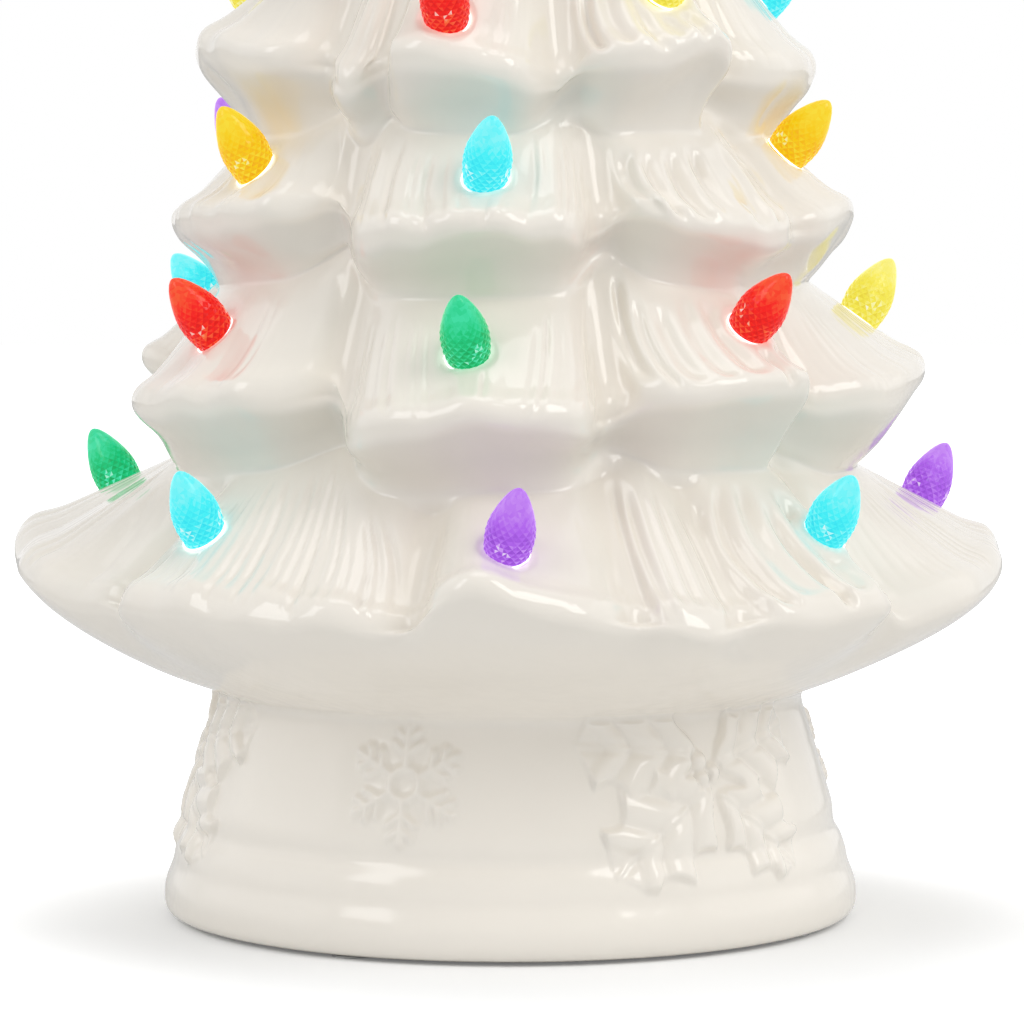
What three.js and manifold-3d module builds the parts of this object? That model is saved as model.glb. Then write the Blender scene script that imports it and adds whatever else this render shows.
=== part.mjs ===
// A lighted ceramic christmas tree: one hollow glazed casting with push-in plastic lamps, a lift-off star,
// and a plastic bottom cover that carries three cells, a slide switch and a post of white LEDs.
// Millimetres, +Z up, origin on the table at the middle of the foot. The front of the tree faces -Y.
import * as THREE from "three";
import { mergeVertices } from "three/addons/utils/BufferGeometryUtils.js";
import Module from "manifold-3d";

const wasm = await Module();
wasm.setup();

const CLEARANCE = 0.3; // between pieces that are seated in each other
const NEEDLE_COUNT = 45; // grooves around each tier, one at every second column of the casting
const CASTING_SEGMENTS = NEEDLE_COUNT * 2;
const CAVITY_SEGMENTS = 36;
const LAMP_SEGMENTS = 8;

// The foot of the casting
const PAD_RADIUS = 5;
const PAD_THICKNESS = 0.5;
const PAD_COUNT = 4;
const FIRST_PAD_ANGLE = -29;
const FOOT_RADIUS = 85;
const FOOT_BULGE = 2.8;
const FOOT_ROUNDING = 3.5;
const FOOT_STEP_HEIGHT = 14.5;
const FOOT_STEP_DEPTH = 1.6;
const BAND_HEIGHT = 23;
const BAND_DEPTH = 2.2;
const BEAD_ROUNDING = 2; // the rounded edge of the step and of the band
const WAIST_INSET = 3.2; // from the foot's radius
const WAIST_RISE = 4; // above the band
const NECK_INSET = 8.6; // from the waist's radius
const NECK_HEIGHT = 57.5;
const NECK_ROUNDING = 2;
const RIM_WIDTH = 13;
const REBATE_DEPTH = 3.9;
const FLANGE_WIDTH = 10;
const FLANGE_THICKNESS = 3.6;
const CASTING_WALL = 6.5; // measured level, so about 4.5 square to the slopes
const CROWN_THICKNESS = 9;
const CROWN_ROUNDING = 2;

// The tiers, from the foot up. A tier's hem runs through its bough tips, pitch above the hem below, or above
// the neck. Its upper slope climbs from there to the root, where the tier above covers it. underSlope is how
// far the underside draws in for each millimetre below the hem. cut and sag say how far the hem falls back,
// and down, in a valley.
// A bough is [tip angle, how far its tip stands out, and up, angle of the valley after it, that valley's
// cut and sag where they differ from the tier's own, and how much higher the next bough starts, where one
// bough laps over the other]. A lamp is [angle, how far it stands in from the tips, tilt, lean, colour].
// Angles are in degrees from the front, turning towards +X, and lengths are in units of TIER_UNIT.
const TIER_UNIT = 1;
const TIER_TABLE = [
  {
    pitch: 32.5, tipRadius: 126, climb: 26, rootRadius: 84, underSlope: 0, cut: 15, sag: 7,
    boughs: [
      [-97, -1, 6.8, -56, 16, 8, 1.7],
      [-48, -7, -2.8, -11.8, 14, 7, 3.3],
      [-5, -4, 4.5, 15.5, 14, 7, 3.5],
      [23.5, -9, -8.5, 28, 12, 6.5],
      [46, -7, -4, 53.5, 16, 4, -6.5],
      [97, -2.5, 4.3, 116],
      [140, 0, 2, 160],
      [183, -4, 0, 206],
      [228, 0, 1, 242],
    ],
    lamps: [
      [-103.5, 24, 28.5, 2.5, "green"],
      [-46.5, 25, 30, 3.5, "sky"],
      [-0.5, 18, 26.5, 10.5, "violet"],
      [48.5, 25.5, 34.5, -5.5, "sky"],
      [100.5, 19.5, 29.5, 14, "violet"],
      [139, 20, 27, 3, "red"],
      [181, 20, 27, 0, "amber"],
      [224, 20, 27, -3, "yellow"],
    ],
  },
  {
    pitch: 46, tipRadius: 104, climb: 27, rootRadius: 71, underSlope: 0.8, cut: 18, sag: 6,
    boughs: [
      [-110, -8, 4, -84, 20, -1, -8],
      [-66, -4.5, -6.5, -30, 20, 2, -10.5],
      [-4, -1, -5.5, 16.5, 19, 7.5, 4.2],
      [46, -4, 1.5, 50.5, 16, 4, -2],
      [92, 1.5, 2, 114],
      [138, 0, 0, 162],
      [190, 0, -1, 226],
    ],
    lamps: [
      [-112, 21.5, 40, 0, "sky"],
      [-59.5, 20.5, 39.5, -2.5, "red"],
      [-6.5, 16.5, 37, -4, "green"],
      [42.5, 19.5, 41.5, 5.5, "red"],
      [93, 16, 31.5, 14, "yellow"],
      [140, 15, 32, 4, "amber"],
      [190, 15, 30, -4, "violet"],
    ],
  },
  {
    pitch: 38, tipRadius: 88, climb: 24, rootRadius: 64, underSlope: 0.8, cut: 16, sag: 5,
    boughs: [
      [-118, -1, 1, -98, 12, 4],
      [-72, -1.5, 1, -34.5, 16, -4, -8.5],
      [-5, 0, 1, 17.8, 16, 2, 7.3],
      [45, -3, -2.5, 58, 4, 1],
      [78, -0.5, 3, 96],
      [128, 0, 1, 156],
      [184, 0, 0, 212],
    ],
    lamps: [
      [-110, 17.5, 30, 0, "violet"],
      [-58.5, 15, 32, 0, "amber"],
      [-4.5, 12.5, 33.5, 8.5, "sky"],
      [75, 17.5, 41.5, -10, "amber"],
      [128, 13, 32, -4, "green"],
      [188, 13, 30, 4, "red"],
    ],
  },
  {
    pitch: 41, tipRadius: 78, climb: 26, rootRadius: 54, underSlope: 0.7, cut: 13, sag: 6,
    boughs: [
      [-76, 2.5, 3, -40.5, 11, 3],
      [-34, -6, -8.5, -27, 11, 4, 4.5],
      [-20, -2, 0.5, 11, 12, 9, 6],
      [41, 0, 4, 50, 12, 5],
      [92, -1, -3.5, 118],
      [150, 0, 1, 180],
      [214, 0, -1, 252],
    ],
    lamps: [
      [-97, 14.5, 30, 0, "yellow"],
      [-13, 11, 30, 0, "red"],
      [35, 14, 30, 0, "yellow"],
      [92, 15, 33, 0, "sky"],
      [172, 13, 32, 4, "violet"],
    ],
  },
  {
    pitch: 40, tipRadius: 68, climb: 23, rootRadius: 43, underSlope: 0.7, cut: 11, sag: 6,
    boughs: [
      [-44, 0, 1, -14],
      [20, 0, -1, 50],
      [94, 0, 2, 124],
      [166, 0, 0, 200],
      [238, 0, -1, 288],
    ],
    lamps: [
      [-41, 13, 31, 3, "sky"],
      [19, 13, 30, -3, "green"],
      [92, 13, 31, 0, "red"],
      [165, 13, 30, 3, "amber"],
      [239, 13, 30, -3, "violet"],
    ],
  },
  {
    pitch: 36, tipRadius: 53, climb: 22, rootRadius: 29, underSlope: 0.7, cut: 9, sag: 5,
    boughs: [
      [-10, 0, 1, 28],
      [78, 0, -1, 118],
      [168, 0, 1, 212],
      [258, 0, 0, 318],
    ],
    lamps: [
      [-8, 12, 30, 2, "amber"],
      [78, 12, 30, -2, "violet"],
      [168, 12, 30, 3, "green"],
      [258, 12, 30, -3, "red"],
    ],
  },
  {
    pitch: 31, tipRadius: 36, climb: 26, rootRadius: 10, underSlope: 0.7, cut: 7, sag: 4,
    boughs: [
      [-58, 0, 0, 0],
      [58, 0, 1, 112],
      [178, 0, 0, 248],
    ],
    lamps: [
      [-54, 11, 28, 0, "red"],
      [55, 11, 28, 0, "sky"],
      [178, 11, 28, 0, "yellow"],
    ],
  },
];
const LAP_WIDTH = 4; // degrees past a valley in which the next bough reaches its own height
const SHOULDER_HEIGHT = 4.5; // the rounded lip above a hem
const SHOULDER_BULGE = 2.4;
const SKIRT_CURVE = 1.55;
const NEEDLE_DEPTH = 1.3;
const FOLD_DEPTH = 2.2; // the dip along a valley between two boughs
const FOLD_WIDTH = 4.2;

// What follows from the foot's sizes and from the table
const WAIST_RADIUS = FOOT_RADIUS - WAIST_INSET;
const NECK_RADIUS = WAIST_RADIUS - NECK_INSET;
const REBATE_RADIUS = FOOT_RADIUS - RIM_WIDTH;
const OPENING_RADIUS = REBATE_RADIUS - FLANGE_WIDTH;
const TIERS = [];
for (const tier of TIER_TABLE) {
  const tipHeight = (TIERS.at(-1)?.tipHeight ?? NECK_HEIGHT) + tier.pitch * TIER_UNIT;
  TIERS.push({
    ...tier,
    tipHeight,
    tipRadius: tier.tipRadius * TIER_UNIT,
    rootHeight: tipHeight + tier.climb * TIER_UNIT,
    rootRadius: tier.rootRadius * TIER_UNIT,
  });
}
const CROWN_HEIGHT = TIERS.at(-1).rootHeight;
const CROWN_RADIUS = TIERS.at(-1).rootRadius;

// A lamp: a bullet-shaped head over a peg, both measured along the lamp's axis from the glazed surface
const LAMP_HEAD_RADIUS = 5.8;
const LAMP_BASE_RADIUS = 5.1;
const LAMP_HEAD_LENGTH = 18.5;
const LAMP_SINK = 2.4;
const LAMP_PEG_RADIUS = 3.2;
const LAMP_PEG_LENGTH = 8;

// The star and its peg, which drops into a bore in the crown
const STAR_RADIUS = 19;
const STAR_INNER_SHARE = 0.45;
const STAR_DEPTH = 11;
const STAR_POINTS = 5;
const STAR_COLLAR_RADIUS = 5.5;
const STAR_COLLAR_HEIGHT = 3;
const STAR_PEG_RADIUS = 3.2;
const STAR_PEG_LENGTH = 12;

// The bottom cover and its battery well
const COVER_THICKNESS = 2.8;
const WELL_WALL = 1.8;
const CELL_RADIUS = 7.1;
const CELL_LENGTH = 49.3;
const CELL_NUB_RADIUS = 2.6;
const CELL_NUB_LENGTH = 1.2;
const CELL_COUNT = 3;
const CELL_GAP = 0.8;
const CONTACT_SPACE = 5.5; // from each end of a cell to the end wall of the well
const CONTACT_THICKNESS = 0.5;
const CONTACT_WIDTH = 8;
const TAB_WIDTH = 2;
const TAB_LENGTH = 4;
const SPRING_WIRE = 0.4;
const SPRING_TURNS = 2.5;
const SPRING_STEPS = 7; // in each turn
const DOOR_THICKNESS = 2.2;
const DOOR_LEDGE = 2;
const DOOR_RIB_WIDTH = 1.5;
const HINGE_PIN_RADIUS = 0.6;
const HINGE_PIN_LENGTH = 1.6;
const HINGE_CLEARANCE = 0.1;
const SCREW_HEAD_RADIUS = 2.6;
const SCREW_HEAD_HEIGHT = 1.1;
const SCREW_SHANK_RADIUS = 1.2;
const SCREW_SHANK_LENGTH = 4;
const SCREW_SLOT_WIDTH = 0.8;
const SCREW_SLOT_DEPTH = 0.6;

// The slide switch beside the well
const SWITCH_LENGTH = 12;
const SWITCH_WIDTH = 6;
const SWITCH_HEIGHT = 6;
const SWITCH_WALL = 1;
const SWITCH_TRAVEL = 3;
const SWITCH_KNOB_LENGTH = 4;
const SWITCH_KNOB_WIDTH = 2.4;
const SWITCH_FRAME_HEIGHT = 6;
const SWITCH_PIN_PITCH = 4;
const SWITCH_PIN_LENGTH = 3;
const SWITCH_GAP = 17.7; // from the well's wall to the middle of the switch

// The driver board, the light post and its LED strip
const BOARD_WIDTH = 16;
const BOARD_LENGTH = 34;
const BOARD_THICKNESS = 1.6;
const BOARD_GAP = 19.7; // from the well's wall to the middle of the board
const BOARD_STANDOFF = 4;
const PLUG_Y = -14;
const PLUG_HEIGHT = 3;
const POST_RADIUS = 5;
const POST_WALL = 1.2;
const POST_DROP = 56; // from the crown to the top of the post
const SOCKET_WALL = 2;
const SOCKET_HEIGHT = 10;
const STRIP_WIDTH = 6;
const STRIP_THICKNESS = 1;
const STRIP_START = 40; // above the socket's floor
const LED_COUNT = 10; // on each side of the post
const LED_SIZE = 4;
const LED_HEIGHT = 1.4;
const LEAD_RADIUS = 0.9;

const COLOURS = {
  glaze: 0xf3ede3, green: 0x0fa05a, sky: 0x35d6f2, violet: 0x9a4fe0, red: 0xe8221a,
  yellow: 0xe8d72e, amber: 0xf5a30c, plastic: 0xf2f2ee, nickel: 0xc9ccd0, cell: 0x2f6a3c,
  black: 0x1c1c1e, board: 0x1f6b3f, clear: 0xe9eef0, wire: 0x26262a,
};

function material(colour, roughness, metalness = 0) {
  return new THREE.MeshStandardMaterial({ color: COLOURS[colour], roughness, metalness });
}

const radians = THREE.MathUtils.degToRad;

// Bare closed surface of a geometry: only its places, with shared corners merged
function bare(geometry) {
  const copy = geometry.clone();
  copy.deleteAttribute("normal");
  copy.deleteAttribute("uv");
  return mergeVertices(copy, 1e-4);
}

function solid(geometry) {
  const merged = bare(geometry);
  return new wasm.Manifold(
    new wasm.Mesh({
      numProp: 3,
      vertProperties: merged.attributes.position.array,
      triVerts: new Uint32Array(merged.index.array),
    }),
  );
}

function toGeometry(manifold) {
  const mesh = manifold.getMesh();
  const geometry = new THREE.BufferGeometry();
  geometry.setAttribute("position", new THREE.BufferAttribute(new Float32Array(mesh.vertProperties), 3));
  geometry.setIndex(new THREE.BufferAttribute(new Uint32Array(mesh.triVerts), 1));
  return geometry;
}

// Adds and cuts geometries that share one frame
function combine(base, added = [], cut = []) {
  let result = solid(base);
  for (const geometry of added) result = result.add(solid(geometry));
  for (const geometry of cut) result = result.subtract(solid(geometry));
  return toGeometry(result);
}

function box(width, length, height, x = 0, y = 0, z = 0) {
  return new THREE.BoxGeometry(width, length, height).translate(x, y, z + height / 2);
}

function rod(radius, height, z = 0, segments = 24) {
  const cylinder = new THREE.CylinderGeometry(radius, radius, height, segments);
  return cylinder.rotateX(Math.PI / 2).translate(0, 0, z + height / 2);
}

// A rod along X, centred
function crossRod(radius, length, y, z, segments = 12) {
  const cylinder = new THREE.CylinderGeometry(radius, radius, length, segments);
  return cylinder.rotateZ(Math.PI / 2).translate(0, y, z);
}

// Turns [radius, height] points about the Z axis
function turned(points, segments) {
  const profile = points.map(([radius, height]) => new THREE.Vector2(radius, height));
  return new THREE.LatheGeometry(profile, segments).rotateX(Math.PI / 2);
}

// A closed surface through rings of equal count, with a pole below the first ring and above the last one
function ringed(rings) {
  const count = rings[0].length;
  const points = [new THREE.Vector3(0, 0, rings[0][0].z), ...rings.flat()];
  points.push(new THREE.Vector3(0, 0, rings.at(-1)[0].z));
  const faces = [];
  for (let i = 0; i < count; i++) {
    const next = (i + 1) % count;
    faces.push(0, 1 + next, 1 + i);
    for (let ring = 0; ring < rings.length - 1; ring++) {
      const low = 1 + ring * count;
      const high = low + count;
      faces.push(low + i, low + next, high + next, low + i, high + next, high + i);
    }
    const last = 1 + (rings.length - 1) * count;
    faces.push(last + i, last + next, points.length - 1);
  }
  const geometry = new THREE.BufferGeometry().setFromPoints(points);
  geometry.setIndex(faces);
  return geometry;
}

function atAngle(degrees, radius, z) {
  return new THREE.Vector3(radius * Math.sin(radians(degrees)), -radius * Math.cos(radians(degrees)), z);
}

// The bough and the valley on either side of an angle, how far the angle lies from the tip to the valley,
// and how much of the next bough's higher start counts there
function boughAt(tier, angle) {
  const count = tier.boughs.length;
  for (let i = 0; i < count; i++) {
    const bough = tier.boughs[i];
    const before = tier.boughs[(i + count - 1) % count];
    const low = before[3] - (i > 0 ? 0 : 360);
    const turn = low + ((((angle - low) % 360) + 360) % 360);
    if (turn > bough[3]) continue;
    if (turn > bough[0]) {
      return { bough, valley: bough, share: (turn - bough[0]) / (bough[3] - bough[0]), start: 0 };
    }
    const start = THREE.MathUtils.smoothstep(turn - low, 0, LAP_WIDTH);
    return { bough, valley: before, share: (bough[0] - turn) / (bough[0] - low), start };
  }
  throw new Error(`no bough at ${angle} degrees`);
}

// The hem of a tier at an angle: its radius and height
function hem(tier, angle) {
  const { bough, valley, share, start } = boughAt(tier, angle);
  const [, , , , cut = tier.cut, sag = tier.sag, rise = 0] = valley;
  const fall = 0.45 * share ** 1.5 + 0.55 * THREE.MathUtils.smoothstep(share, 0.6, 1);
  return {
    radius: tier.tipRadius + THREE.MathUtils.lerp(bough[1], -cut, fall) * TIER_UNIT,
    height: tier.tipHeight + THREE.MathUtils.lerp(bough[2], rise * start - sag, share) * TIER_UNIT,
  };
}

function upperSlope(tier, edge) {
  return (edge.radius - tier.rootRadius) / (tier.rootHeight - edge.height);
}

// The height where the upper slope of one tier meets the underside of the next
function creaseHeight(lower, upper, angle) {
  const below = hem(lower, angle);
  const above = hem(upper, angle);
  const slope = upperSlope(lower, below);
  const reach = below.radius + slope * below.height - above.radius + upper.underSlope * above.height;
  return reach / (slope + upper.underSlope);
}

function underRadius(tier, edge, z) {
  return edge.radius - tier.underSlope * (edge.height - z);
}

// The foot and the waist of the casting, as [radius, height]
function footProfile() {
  const bulge = FOOT_RADIUS + FOOT_BULGE;
  const step = bulge - FOOT_STEP_DEPTH - BEAD_ROUNDING * 0.2;
  const band = bulge - FOOT_STEP_DEPTH - BEAD_ROUNDING * 0.8;
  return [
    [FOOT_RADIUS, PAD_THICKNESS],
    [bulge, PAD_THICKNESS + FOOT_ROUNDING],
    [bulge - BEAD_ROUNDING * 0.3, FOOT_STEP_HEIGHT - BEAD_ROUNDING],
    [step, FOOT_STEP_HEIGHT],
    [band, BAND_HEIGHT - BEAD_ROUNDING],
    [band - BAND_DEPTH, BAND_HEIGHT],
    [WAIST_RADIUS, BAND_HEIGHT + WAIST_RISE],
    [WAIST_RADIUS - NECK_INSET * 0.22, BAND_HEIGHT + (NECK_HEIGHT - BAND_HEIGHT) * 0.42],
    [NECK_RADIUS, NECK_HEIGHT - NECK_ROUNDING],
  ];
}

// How deep the needles and the valleys are cut into an upper slope
function carving(tier, angle, radius) {
  const needle = NEEDLE_DEPTH * Math.sin((radians(angle) * NEEDLE_COUNT) / 2) ** 2;
  const apart = tier.boughs.map(([, , , valley]) => Math.abs((((angle - valley) % 360) + 540) % 360 - 180));
  return needle + FOLD_DEPTH * Math.exp((-radians(Math.min(...apart)) * radius) / FOLD_WIDTH);
}

// The underside of the lowest tier is a hollow curve from the neck out to the hem
function skirtPoint(edge, share) {
  return {
    radius: NECK_RADIUS + (edge.radius - NECK_RADIUS) * (1 - (1 - share) ** SKIRT_CURVE),
    height: NECK_HEIGHT + (edge.height - NECK_HEIGHT) * share,
  };
}

// The outer surface at one angle, from the foot to the crown
function outerPoints(angle) {
  const points = footProfile().map(([radius, height]) => ({ radius, height }));
  const skirt = hem(TIERS[0], angle);
  for (const share of [0, 0.2, 0.45, 0.75]) points.push(skirtPoint(skirt, share));
  TIERS.forEach((tier, index) => {
    const edge = hem(tier, angle);
    const cut = carving(tier, angle, edge.radius);
    points.push({ radius: edge.radius - cut / 2, height: edge.height });
    const slope = upperSlope(tier, edge);
    points.push({
      radius: edge.radius - slope * SHOULDER_HEIGHT + SHOULDER_BULGE - cut,
      height: edge.height + SHOULDER_HEIGHT,
    });
    if (index === TIERS.length - 1) return;
    const crease = creaseHeight(tier, TIERS[index + 1], angle);
    points.push({ radius: edge.radius - slope * (crease - edge.height), height: crease });
  });
  points.push({ radius: CROWN_RADIUS, height: CROWN_HEIGHT - CROWN_ROUNDING });
  points.push({ radius: CROWN_RADIUS - CROWN_ROUNDING * 1.25, height: CROWN_HEIGHT });
  return points;
}

// The cavity at one angle keeps the wall from every part of the outer surface near that angle
function cavityPoints(angle) {
  const spread = 360 / CAVITY_SEGMENTS;
  const near = [-1, -0.5, 0, 0.5, 1].map((share) => angle + share * spread);
  const wallFrom = (radiusAt, wall = CASTING_WALL) => Math.min(...near.map(radiusAt)) - wall;
  const floor = PAD_THICKNESS + REBATE_DEPTH + FLANGE_THICKNESS;
  const points = [
    { radius: FOOT_RADIUS + FOOT_BULGE - FOOT_STEP_DEPTH - CASTING_WALL, height: floor },
    { radius: WAIST_RADIUS - CASTING_WALL, height: BAND_HEIGHT },
    { radius: NECK_RADIUS - CASTING_WALL, height: NECK_HEIGHT - NECK_ROUNDING },
  ];
  const skirt = hem(TIERS[0], angle);
  points.push({
    radius: wallFrom((a) => skirtPoint(hem(TIERS[0], a), 0.45).radius, CASTING_WALL * 1.6),
    height: skirtPoint(skirt, 0.45).height,
  });
  TIERS.forEach((tier, index) => {
    points.push({ radius: wallFrom((a) => hem(tier, a).radius), height: hem(tier, angle).height });
    if (index === TIERS.length - 1) return;
    const next = TIERS[index + 1];
    const creaseRadius = (a) => underRadius(next, hem(next, a), creaseHeight(tier, next, a));
    points.push({ radius: wallFrom(creaseRadius), height: creaseHeight(tier, next, angle) });
  });
  points.push({ radius: CROWN_RADIUS - CROWN_ROUNDING, height: CROWN_HEIGHT - CROWN_THICKNESS });
  return points;
}

function surface(pointsAt, segments) {
  const columns = [];
  for (let i = 0; i < segments; i++) {
    const angle = (i * 360) / segments;
    columns.push(pointsAt(angle).map(({ radius, height }) => atAngle(angle, radius, height)));
  }
  const rings = columns[0].map((_, level) => columns.map((column) => column[level]));
  return ringed(rings);
}

// Where a lamp stands: its place on the upper slope, and its axis
function lampSeat(tier, [angle, setback, tilt, lean]) {
  const edge = hem(tier, angle);
  const radius = tier.tipRadius - setback * TIER_UNIT;
  const height = edge.height + (edge.radius - radius) / upperSlope(tier, edge);
  const outward = atAngle(angle, 1, 0);
  const sideways = new THREE.Vector3(0, 0, 1).cross(outward);
  const axis = new THREE.Vector3(0, 0, Math.cos(radians(tilt)))
    .addScaledVector(outward, Math.sin(radians(tilt)))
    .addScaledVector(sideways, Math.sin(radians(lean)))
    .normalize();
  return { place: atAngle(angle, radius, height), axis };
}

function lampMatrix({ place, axis }) {
  const turn = new THREE.Quaternion().setFromUnitVectors(new THREE.Vector3(0, 0, 1), axis);
  return new THREE.Matrix4().compose(place, turn, new THREE.Vector3(1, 1, 1));
}

function lampGeometry() {
  const head = LAMP_HEAD_LENGTH;
  return turned(
    [
      [0, -LAMP_SINK - LAMP_PEG_LENGTH],
      [LAMP_PEG_RADIUS, -LAMP_SINK - LAMP_PEG_LENGTH],
      [LAMP_PEG_RADIUS, -LAMP_SINK],
      [LAMP_BASE_RADIUS, -LAMP_SINK],
      [LAMP_HEAD_RADIUS, head * 0.22],
      [LAMP_HEAD_RADIUS * 0.8, head * 0.6],
      [LAMP_HEAD_RADIUS * 0.4, head * 0.9],
      [0, head],
    ],
    LAMP_SEGMENTS,
  );
}

// The seat pocket and the bore for the peg, right through the wall
function lampHole() {
  const bore = LAMP_PEG_RADIUS + CLEARANCE;
  const pocket = LAMP_HEAD_RADIUS + CLEARANCE;
  const through = LAMP_SINK + LAMP_PEG_LENGTH + CASTING_WALL;
  return turned(
    [
      [0, -through],
      [bore, -through],
      [bore, -LAMP_SINK - CLEARANCE],
      [LAMP_BASE_RADIUS + CLEARANCE, -LAMP_SINK - CLEARANCE],
      [pocket, LAMP_HEAD_LENGTH * 0.22],
      [pocket, LAMP_HEAD_LENGTH],
      [0, LAMP_HEAD_LENGTH],
    ],
    LAMP_SEGMENTS,
  );
}

function castingGeometry() {
  let casting = solid(surface(outerPoints, CASTING_SEGMENTS));
  casting = casting.subtract(solid(surface(cavityPoints, CAVITY_SEGMENTS)));
  const rebate = PAD_THICKNESS + REBATE_DEPTH;
  casting = casting.subtract(solid(rod(REBATE_RADIUS, rebate, 0, 48)));
  casting = casting.subtract(solid(rod(OPENING_RADIUS, rebate + FLANGE_THICKNESS * 2, 0, 48)));
  casting = casting.subtract(solid(rod(STAR_PEG_RADIUS + CLEARANCE, 60, CROWN_HEIGHT - 40, LAMP_SEGMENTS)));
  for (const tier of TIERS) {
    for (const lamp of tier.lamps) {
      casting = casting.subtract(solid(lampHole().applyMatrix4(lampMatrix(lampSeat(tier, lamp)))));
    }
  }
  return toGeometry(casting);
}

function starGeometry() {
  const centre = CROWN_HEIGHT + STAR_COLLAR_HEIGHT + STAR_RADIUS * Math.cos(Math.PI / STAR_POINTS) - 2;
  const outline = [];
  for (let i = 0; i < STAR_POINTS * 2; i++) {
    const radius = i % 2 ? STAR_RADIUS * STAR_INNER_SHARE : STAR_RADIUS;
    const turn = (i * Math.PI) / STAR_POINTS;
    outline.push(new THREE.Vector3(radius * Math.sin(turn), 0, centre + radius * Math.cos(turn)));
  }
  const front = new THREE.Vector3(0, -STAR_DEPTH / 2, centre);
  const points = [...outline, front, new THREE.Vector3(0, STAR_DEPTH / 2, centre)];
  const faces = [];
  outline.forEach((_, i) => {
    const next = (i + 1) % outline.length;
    faces.push(i, next, outline.length + 1);
    faces.push(next, i, outline.length);
  });
  const star = new THREE.BufferGeometry().setFromPoints(points);
  star.setIndex(faces);
  const collarTop = CROWN_HEIGHT + CLEARANCE + STAR_COLLAR_HEIGHT;
  const stem = turned(
    [
      [0, CROWN_HEIGHT - STAR_PEG_LENGTH],
      [STAR_PEG_RADIUS, CROWN_HEIGHT - STAR_PEG_LENGTH],
      [STAR_PEG_RADIUS, CROWN_HEIGHT + CLEARANCE],
      [STAR_COLLAR_RADIUS, CROWN_HEIGHT + CLEARANCE],
      [STAR_COLLAR_RADIUS, collarTop],
      [2.5, collarTop + 4],
      [0, collarTop + 4],
    ],
    LAMP_SEGMENTS,
  );
  return combine(star, [stem]);
}

// Levels and outlines of the cover, from the table up
const COVER_TOP = PAD_THICKNESS + REBATE_DEPTH;
const COVER_BOTTOM = COVER_TOP - COVER_THICKNESS;
const CELL_PITCH = CELL_RADIUS * 2 + CELL_GAP;
const WELL_WIDTH = CELL_PITCH * CELL_COUNT;
const SWITCH_X = WELL_WIDTH / 2 + WELL_WALL + SWITCH_GAP;
const BOARD_X = -WELL_WIDTH / 2 - WELL_WALL - BOARD_GAP;
const WELL_LENGTH = CELL_LENGTH + CELL_NUB_LENGTH + CONTACT_SPACE * 2;
const DOOR_WIDTH = WELL_WIDTH + DOOR_LEDGE * 2;
const DOOR_BACK = -WELL_LENGTH / 2 - DOOR_LEDGE;
const DOOR_FRONT = WELL_LENGTH / 2 + DOOR_LEDGE + SCREW_HEAD_RADIUS * 3;
const DOOR_LENGTH = DOOR_FRONT - DOOR_BACK;
const DOOR_MIDDLE = (DOOR_BACK + DOOR_FRONT) / 2;
const RECESS_TOP = COVER_BOTTOM + DOOR_THICKNESS + CLEARANCE;
const WELL_FLOOR = RECESS_TOP + 1;
const CELL_AXIS = WELL_FLOOR + CELL_RADIUS;
const WELL_ROOF = CELL_AXIS + CELL_RADIUS + CELL_GAP;
const WELL_TOP = WELL_ROOF + WELL_WALL;
const HINGE_RADIUS = DOOR_THICKNESS / 2;
const HINGE_Y = DOOR_BACK + HINGE_RADIUS;
const HINGE_Z = COVER_BOTTOM + HINGE_RADIUS;
const HINGE_SPAN = DOOR_WIDTH + HINGE_PIN_LENGTH * 2;
const SCREW_Y = DOOR_FRONT - SCREW_HEAD_RADIUS * 1.6;
const SCREW_HEAD_BOTTOM = COVER_BOTTOM + 0.2;
const SWITCH_BAY = COVER_BOTTOM + 1.5;
const SWITCH_FLOOR = SWITCH_BAY + CLEARANCE;
const SWITCH_PIN_TOP = SWITCH_FLOOR + SWITCH_HEIGHT + SWITCH_PIN_LENGTH;
const BOARD_BOTTOM = COVER_TOP + BOARD_STANDOFF + CLEARANCE;
const BOARD_TOP = BOARD_BOTTOM + BOARD_THICKNESS;
const STRIP_FACE = POST_RADIUS + CLEARANCE + STRIP_THICKNESS / 2;
const STRIP_BOTTOM = WELL_TOP + STRIP_START;
const POST_TOP = CROWN_HEIGHT - POST_DROP;

function cellX(index) {
  return (index - (CELL_COUNT - 1) / 2) * CELL_PITCH;
}

function slotForKnob(z) {
  const width = SWITCH_KNOB_WIDTH + CLEARANCE * 2;
  const length = SWITCH_KNOB_LENGTH + SWITCH_TRAVEL + CLEARANCE * 2;
  return box(width, length, SWITCH_HEIGHT / 2 + 1, SWITCH_X, 0, z);
}

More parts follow.
